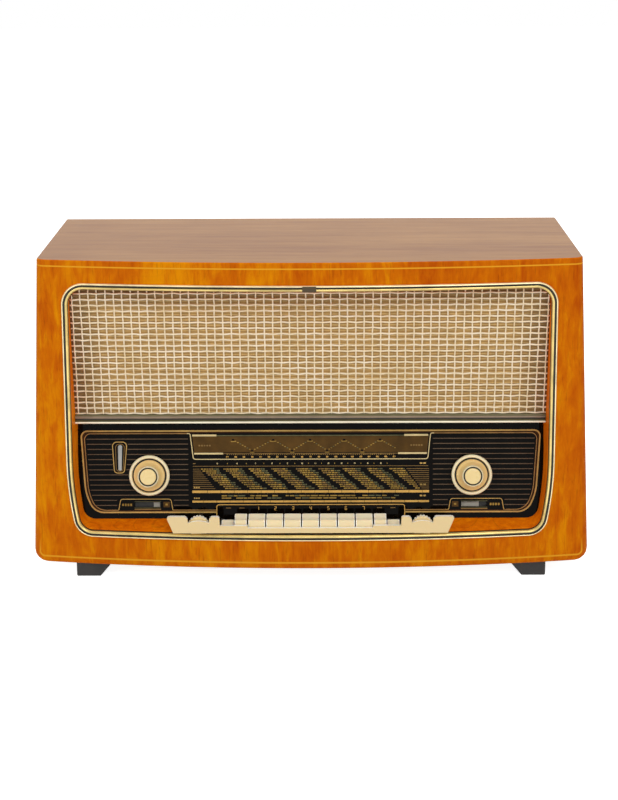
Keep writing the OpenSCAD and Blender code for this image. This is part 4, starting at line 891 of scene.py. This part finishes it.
# The tuning eye's window is a double outline round a pearl strip
EYE_V = 73
eye_out = round_poly([(-236, 92), (-218.4, 92), (-221.8, 55), (-233.6, 55)], [5, 5, 4, 4], 6)
stroke(gold, eye_out, 1.0, closed=True)
eye_in = round_poly([(-232.2, 89.4), (-221.4, 89.4), (-223.4, 57.2), (-231.4, 57.2)], [4, 4, 3.4, 3.4], 6)
stroke(dim, eye_in, 0.7, closed=True)
eye = Shape()
eye_slot = [(-229.3, 88.4), (-224.2, 88.4), (-224.9, 57.8), (-228.9, 57.8)]
eye_slot = round_poly(eye_slot, [2.4, 2.4, 1.8, 1.8], 6)
eye_u = sum(u for u, v in eye_slot) / len(eye_slot)
eye_rings = []
for share, depth in ((1.0, PRINT), (0.8, PRINT - 0.25), (0.45, PRINT - 0.4)):
    high = 0.97 + 0.03 * share
    ring = [(eye_u + (u - eye_u) * share, EYE_V + (v - EYE_V) * high) for u, v in eye_slot]
    eye_rings.append([dial(u, depth, v) for u, v in ring])
eye.loops(eye_rings)
eye.faces.append(tuple(range(2 * len(eye_slot), 3 * len(eye_slot))))
eye.tags.append(0)
eye.make("eye_window", EYE, slot="tube_glass")

# Tabs round the tone windows, on the lower line
for foot_l, foot_r in ((-228.9, -164.3), (164.3, 229.9)):
    left = [(foot_l - 2.5, 10.4), (foot_l, 10.4), (foot_l + 2.4, 23.6)]
    right = [(foot_r - 2.4, 23.6), (foot_r, 10.4), (foot_r + 2.5, 10.4)]
    stroke(gold, round_poly(left + right, [0, 1.5, 3, 3, 1.5, 0], 5), 0.9)

# Thin frames round the tone windows, with a small plain square beside each
for mid, inward in ((-194.25, 1), (194.65, -1)):
    block(faint, mid, 20.6, 15.8, 0.3)
    block(faint, mid, 13.1, 15.8, 0.3)
    block(dim, mid, 11.45, 15.8, 0.55)
    block(brown, mid + inward * 22.5, 17.1, 3.8, 3.3)
    block(text, mid + inward * 22.5, 17.1, 1.4, 1.1, OVER)
    for k in range(4):
        block(text, mid - inward * 24.6 + k * 3.2 - 4.9, 16.8, 1.1, 1.4)

# The middle window has an outline, four pale bars and a brown band
middle_left = [(-147, 101.9), (-143.3, 101.9), (-139.4, 71.1)]
middle_right = [(139.5, 71.1), (142.8, 101.9), (147, 101.9)]
stroke(cream, round_poly(middle_left + middle_right, [0, 2.5, 3, 3, 2.5, 0], 5), 1.0)
polygon(brown, [(-140.6, 98.4), (-138.2, 79.3), (138.4, 79.3), (140.4, 98.4)], PRINT + 0.03)
rect(cream, -140.7, -111.9, 98.5, 100.7)
rect(cream, 111.4, 139.9, 98.5, 100.7)
rect(cream, -138.5, -104, 76.9, 78.9)
rect(cream, 104.2, 138.2, 76.9, 78.9)
rect(faint, -111.9, 111.4, 98.7, 99.9)
rect(dim, -104, 104.2, 77.5, 78.2)

# A zigzag of dots runs along the band, with a small black mark at each turn
turn_u = (-92, -69.4, -44.4, -21.8, -0.4, 19.8, 40, 61.4, 82.8, 103)
turns = [(u, 81.3 if k % 2 else 94.3) for k, u in enumerate(turn_u)]
turns[-1] = (103, 83)
for (u0, v0), (u1, v1) in zip(turns, turns[1:]):
    for k in range(1, 8):
        t = k / 8
        block(text if k % 3 else faint, u0 + (u1 - u0) * t, v0 + (v1 - v0) * t, 0.85, 0.45)
    block(black, u0, v0, 1.3, 0.9, OVER)
    block(text, u0, v0 - 2.05, 2.6, 0.35)
for side in (-1, 1):
    for k in range(5):
        block(dim, side * 126 + (k - 2) * 3.1, 87.5, 1.0, 0.9)

# Ticks of the upper scale
for k in range(79):
    block(text if k % 4 == 0 else dim, -99.1 + k * 198 / 78, 76.65, 0.65, 0.45)

DIGITS = {
    "0": "abcdef", "1": "bc", "2": "abged", "3": "abgcd", "4": "fgbc",
    "5": "afgcd", "6": "afgedc", "7": "abc", "8": "abcdefg", "9": "abcdfg",
}


def number(shape, digits, u, v, h, line, w=None):
    """Plain numbers from short strokes, centred on (u, v)."""
    w = w or h * 0.52
    step = w + h * 0.28
    u -= step * (len(digits) - 1) / 2
    for digit in digits:
        x0, x1, y0, y1 = u - w / 2, u + w / 2, v - h / 2, v + h / 2
        t = line / 2
        seg = {
            "a": (x0, x1, y1 - t, y1 + t), "d": (x0, x1, y0 - t, y0 + t), "g": (x0, x1, v - t, v + t),
            "f": (x0 - t, x0 + t, v, y1), "b": (x1 - t, x1 + t, v, y1),
            "e": (x0 - t, x0 + t, y0, v), "c": (x1 - t, x1 + t, y0, v),
        }
        for name in DIGITS[digit]:
            rect(shape, *seg[name])
        u += step


for k in range(21):
    number(bright, str(87 + k), -99 + k * 9.9, 73.9, 1.5, 0.45, 0.95)

# The scale below it has numbers and dots in turn, closer together to the right
place_u, pace = -111.0, 12.0
for k in range(24):
    if k % 2 == 0:
        number(cream, str(5 + k // 2), place_u, 66.0, 1.5, 0.42, 0.95)
    else:
        block(text, place_u, 66.0, 0.4, 0.7)
    place_u += pace
    pace = max(7.8, pace * 0.96)
rect(dim, -140, -137, 65.6, 66.4)
rect(dim, -140, 140, 62.5, 63.1)

# The station field has rows of short dashes with dark diagonal gaps
random.seed(11)
for r in range(11):
    v = 59.4 - r * 2.32
    shift = r * 2.9
    rect(dim, -140, -132.5 + r * 1.9, v - 0.3, v + 0.3)
    u = -130.5 + r * 1.9
    end = 112 + r * 1.8
    while u < end:
        phase = (u - shift + 132) % 28.2
        length = random.uniform(1.2, 4.2)
        if phase < 19.5:
            shape = faint if phase > 14.5 else dim if random.random() < 0.3 else text
            rect(shape, u, min(u + length, end), v - 0.66, v + 0.66)
            u += length + random.uniform(0.35, 0.8)
        else:
            u += 2.4
    rect(dim, min(end + 2, 139), 141, v - 0.3, v + 0.3)
for v, w in ((32.3, 2.9), (20.5, 2.3)):
    rect(bright, -141, 141, v - w / 2, v + w / 2)
    for k in range(17):
        u = -128 + k * 16.0 + (5 if v > 30 else 0)
        rect(black, u - 0.2, u + 0.2, v - w / 2, v + w / 2, OVER)
for k in range(24):
    block(dim, -132 + k * 11.5, 30.45, 0.25, 0.45)
for v in (27.4, 24.6):
    u = -106.0
    while u < 104:
        length = random.uniform(3, 9)
        if random.random() < 0.84:
            rect(faint if random.random() < 0.3 else text, u, u + length, v - 0.7, v + 0.7)
        u += length + random.uniform(0.5, 1.6)
for v in (37.5, 24.5):
    for k in range(3):
        block(gold, -138.2 + k * 2.6, v, 0.8, 0.9)
for v in (66.0, 40.6, 27.2):
    for k in range(2):
        block(gold, 131.5 + k * 4.2, v, 1.5, 0.9)

# Panel over the keys, with a plain number over each wide key and a dash over each narrow one
tab = round_poly([(-112, 0.8), (-112, 16.7), (112, 16.7), (112, 0.8)], [0, 3, 3, 0], 6)
stroke(bright, tab, 1.0)
polygon(black, [(-111, 0.4), (-111, 16), (111, 16), (111, 0.4)], PRINT + 0.06)
for k in range(7):
    number(bright, str(k + 1), (k - 3) * KEY_PITCH, 12.4, 4.0, 0.62)
for side in (-1, 1):
    for u in (82, 98):
        block(dim, side * u, 12.75, 3.0, 0.45)

for shape, name, material, slot in (
    (gold, "gold", GOLD, "gilt"),
    (text, "text", TEXT, "gilt"),
    (faint, "faint", FAINT, "gilt"),
    (copper, "copper", COPPER, "gilt"),
    (louvre, "louvre", LOUVRE, "gilt"),
    (fill, "fill", FILL, "scale_glass"),
    (dim, "dim", GOLD_DIM, "gilt"),
    (bright, "bright", GOLD_BRIGHT, "gilt"),
    (brown, "band", BROWN, "scale_glass"),
    (cream, "cream", CREAM, "gilt"),
    (black, "panel", PANEL, "scale_glass"),
):
    shape.make("dial_print_" + name, material, slot=slot, smooth=False)

# Knobs

KNOB_U, KNOB_V = 191.0, 53.0
DOME_END = 12


def at_knob(u):
    """Puts a turned piece's points round a knob's shaft."""

    def place(x, depth, z):
        return dial(u + x, depth, KNOB_V + z)

    return place


ring_profile = [(5.0, -1.4), (21.6, -1.4), (22.6, -1.7), (23.4, -3.0)]
ring_profile += arc(21.6, -10.9, 2.5, 12, -78, 8)
ring_profile += arc(21.7, -12.0, 1.2, -100, -165, 4)
ring_profile += [(20.4, -11.4), (20.3, -8.0), (5.0, -8.0)]
disc_profile = [(3.0, -8.8), (18.3, -8.8), (18.4, -13.0), (18.2, -13.9), (17.9, -14.3), (17.4, -14.9)]
for k in range(1, 11):
    t = k / 10
    disc_profile.append((17.4 - 5.1 * (1 - (1 - t) ** 1.7), -14.9 - 12.3 * t**1.35))
disc_profile += [(12.3, -27.9), (11.9, -28.4), (11.4, -28.3), (11.1, -27.6), (11.0, -26.0)]
button_profile = [(0.02, -25.9), (9.4, -25.9), (9.5, -27.2), (9.4, -28.3), (9.0, -28.9), (8.3, -29.2)]
button_profile += [(6.5, -29.6), (3.2, -29.8), (0.02, -29.9)]


def ring_part(ring, step):
    """The floor of the gap inside the ring gets dark painted shade."""
    return 1 if ring > len(ring_profile) - 3 else 0


def disc_part(ring, step):
    """The hollow round the button gets dark painted shade, and the crest beside it is pale."""
    if ring > len(disc_profile) - 3:
        return 1
    return 2 if ring > DOME_END else 0


for side, knob_u in (("left", -KNOB_U), ("right", KNOB_U)):
    place = at_knob(knob_u)
    turned = lathe(ring_profile, place, 128, ring_part)
    name, node_name = "ring_knob_body_" + side, "ring_knob_" + side
    ring = turned.make(name, [KNOB_IVORY, SLOT_SHADE], body=side + "_ring", slot="ivory", replaces=[node_name])
    turned = lathe(disc_profile + [(0.02, -26.0)], place, 128, disc_part)
    kinds = [KNOB_GOLD, SLOT_SHADE, KNOB_IVORY]
    name, node_name = "disc_knob_body_" + side, "disc_knob_" + side
    disc = turned.make(name, kinds, body=side + "_disc", slot="cream_gold", replaces=[node_name])
    turned = lathe(button_profile, place)
    button = turned.make("disc_button_" + side, KNOB_BUTTON, body=side + "_disc", slot="cream_gold")
    for ob in (ring, disc, button):
        sharpen(ob, 48)

# Keys

PRESS = math.radians(5.6)
SHAFT_Y, SHAFT_Z = 95.0, 44.0
WIDE_KEY, NARROW_KEY = 19.7, 14.4


def key_place(x0, pressed):
    """Places a key's points, turned on the shaft where it is pressed."""
    c, s = math.cos(PRESS if pressed else 0), math.sin(PRESS if pressed else 0)

    def place(x, y, z):
        dy, dz = y - SHAFT_Y, z - SHAFT_Z
        return cab(x0 + x, SHAFT_Y + c * dy - s * dz, SHAFT_Z + s * dy + c * dz)

    return place


def key_mesh(x0, width, pressed):
    """A cap with a lip and a hollow for the finger, on its lever."""
    place = key_place(x0, pressed)
    top = [
        (5.55, 48.35), (6.3, 56.2), (6.45, 57.2), (6.85, 57.9), (7.6, 58.4), (8.8, 58.65), (11.0, 58.5),
        (13.0, 58.45), (15.0, 58.7), (17.0, 59.2), (19.5, 60.0), (21.5, 60.7), (22.8, 61.0), (23.7, 60.95),
        (24.3, 60.3), (24.45, 59.0), (24.45, 54.9), (20.9, 52.9), (9.0, 52.9), (8.4, 48.35),
    ]
    s = Shape()
    w = width / 2
    xs = [(-w, 0.8), (-w + 0.35, 0.25), (-w + 1.0, 0.0), (-w * 0.5, 0.0), (0.0, 0.0)]
    xs += [(-x, edge) for x, edge in reversed(xs[:4])]
    rings = []
    for x, edge in xs:
        ring = []
        for k, (y, z) in enumerate(top):
            dy, dz = y - 14.5, z - 55.0
            length = math.hypot(dy, dz)
            y2, z2 = y - dy / length * edge, z - dz / length * edge
            if 6 <= k <= 11:
                z2 -= 0.35 * max(0.0, 1 - (x / (w * 0.9)) ** 2)
            ring.append(place(x, y2, z2))
        rings.append(ring)

    def key_part(ring, step):
        """The rims get the palest ivory as a painted highlight, the top with its finger hollow a lighter
        ivory than the front as painted light, and the ends the bezel's darker ivory as painted shade between
        the keys.
        """
        if ring < 0:
            return 3
        if ring in (0, 1, 6, 7) or 12 <= step <= 14:
            return 2
        return 1 if 4 <= step <= 11 else 0

    s.loops(rings, cap=True, tag=key_part)
    lever = [
        (9, 53.2), (9, 50.1), (20, 48.5), (40, 40.6), (90.5, 40.6), (93, 39.6), (97, 39.8), (99.5, 42.5),
        (99.5, 45.8), (97, 48.2), (93, 48.4), (90.5, 45.6), (46, 45.6), (40, 45.8), (24.4, 51.9),
        (24.4, 55.2),
    ]
    s.loops([[place(x, y, z) for y, z in lever] for x in (-3, 3)], cap=True)
    return s


# The bezel's darker ivory on the keys' ends is painted shade between the keys.
KEY_KINDS = [KEY_IVORY, KEY_TOP_LIT, IVORY_HIGHLIGHT, IVORY]
keys = [(f"key_{i + 1}", (i - 3) * KEY_PITCH, WIDE_KEY, False) for i in range(7)]
for i, x in enumerate((-97.55, -81.85, 81.85, 97.55)):
    keys.append((f"side_key_{i + 1}", x, NARROW_KEY, i in (0, 3)))
for name, x, width, pressed in keys:
    shape = key_mesh(x, width, pressed)
    sharpen(shape.make(name + "_cap", KEY_KINDS, body=name, slot="ivory", replaces=[name]), 42)

# Camera, light, floor

PHOTO_H, FOCAL_PX = 800, 1817
PITCH, YAW, ROLL = math.radians(15.60), math.radians(0.47), math.radians(-0.295)
scene = bpy.context.scene
camera_data = bpy.data.cameras.new("camera")
camera_data.sensor_width = 36
camera_data.lens = FOCAL_PX * 36 / PHOTO_H
camera_data.clip_start = 0.05
camera_data.clip_end = 60
camera = bpy.data.objects.new("camera", camera_data)
scene.collection.objects.link(camera)
turn = Matrix.Rotation(YAW, 3, "Z")
forward = turn @ Vector((0, math.cos(PITCH), -math.sin(PITCH)))
level = turn @ Vector((1, 0, 0))
up = level.cross(forward)
camera_right = level * math.cos(ROLL) + up * math.sin(ROLL)
camera_up = up * math.cos(ROLL) - level * math.sin(ROLL)
placed = Matrix((camera_right, camera_up, -forward)).transposed().to_4x4()
placed.translation = cab(15.5, -2002.9, 765.7)
camera.matrix_world = placed
scene.camera = camera


def area(name, at, size, power):
    """A soft lamp that faces the radio."""
    data = bpy.data.lights.new(name, "AREA")
    data.shape = "RECTANGLE"
    data.size, data.size_y = size
    data.energy = power
    ob = bpy.data.objects.new(name, data)
    scene.collection.objects.link(ob)
    ob.location = at
    ob.rotation_mode = "QUATERNION"
    ob.rotation_quaternion = (Vector((0, 0, 0.2)) - Vector(at)).to_track_quat("-Z", "Y")


area("key_light", (0.9, -2.2, 2.1), (1.8, 1.4), 28.6)
area("fill_light", (-1.9, -1.7, 1.1), (1.2, 1.2), 10)
area("top_light", (0, 0.3, 2.6), (2.4, 1.6), 22)


def mix_seen(tree, lighting, seen):
    """Mixes what lights the radio with what the camera sees, also in gloss and through glass."""
    path = tree.nodes.new("ShaderNodeLightPath")
    value = path.outputs["Is Camera Ray"]
    for kind in ("Is Glossy Ray", "Is Transmission Ray"):
        either = tree.nodes.new("ShaderNodeMath")
        either.operation = "MAXIMUM"
        tree.links.new(value, either.inputs[0])
        tree.links.new(path.outputs[kind], either.inputs[1])
        value = either.outputs[0]
    mix = tree.nodes.new("ShaderNodeMixShader")
    tree.links.new(value, mix.inputs[0])
    tree.links.new(lighting.outputs[0], mix.inputs[1])
    tree.links.new(seen.outputs[0], mix.inputs[2])
    return mix.outputs[0]


world = bpy.data.worlds.new("studio")
scene.world = world
world.use_nodes = True
world_tree = world.node_tree
lighting = world_tree.nodes["Background"]
lighting.inputs["Color"].default_value = (1, 1, 1, 1)
lighting.inputs["Strength"].default_value = 0.5
white = world_tree.nodes.new("ShaderNodeBackground")
white.inputs["Color"].default_value = (1, 1, 1, 1)
white.inputs["Strength"].default_value = 1.0
surface = mix_seen(world_tree, lighting, white)
world_tree.links.new(surface, world_tree.nodes["World Output"].inputs["Surface"])

floor_mesh = bpy.data.meshes.new("floor")
floor_mesh.from_pydata([(-6, -5, 0), (6, -5, 0), (6, 9, 0), (-6, 9, 0)], [], [(0, 1, 2, 3)])
floor = bpy.data.objects.new("floor", floor_mesh)
scene.collection.objects.link(floor)
floor_paint = bpy.data.materials.new("floor_white")
floor_paint.use_nodes = True
floor_tree = floor_paint.node_tree
matt = floor_tree.nodes["Principled BSDF"]
matt.inputs["Base Color"].default_value = (0.9, 0.9, 0.9, 1)
matt.inputs["Roughness"].default_value = 0.9
matt.inputs["Specular IOR Level"].default_value = 0.0
glow = floor_tree.nodes.new("ShaderNodeEmission")
glow.inputs["Strength"].default_value = 0.9
lifted = floor_tree.nodes.new("ShaderNodeAddShader")
floor_tree.links.new(matt.outputs[0], lifted.inputs[0])
floor_tree.links.new(glow.outputs[0], lifted.inputs[1])
surface = mix_seen(floor_tree, matt, lifted)
floor_tree.links.new(surface, floor_tree.nodes["Material Output"].inputs["Surface"])
floor_mesh.materials.append(floor_paint)

bpy.context.scene.view_settings.view_transform = "Standard"
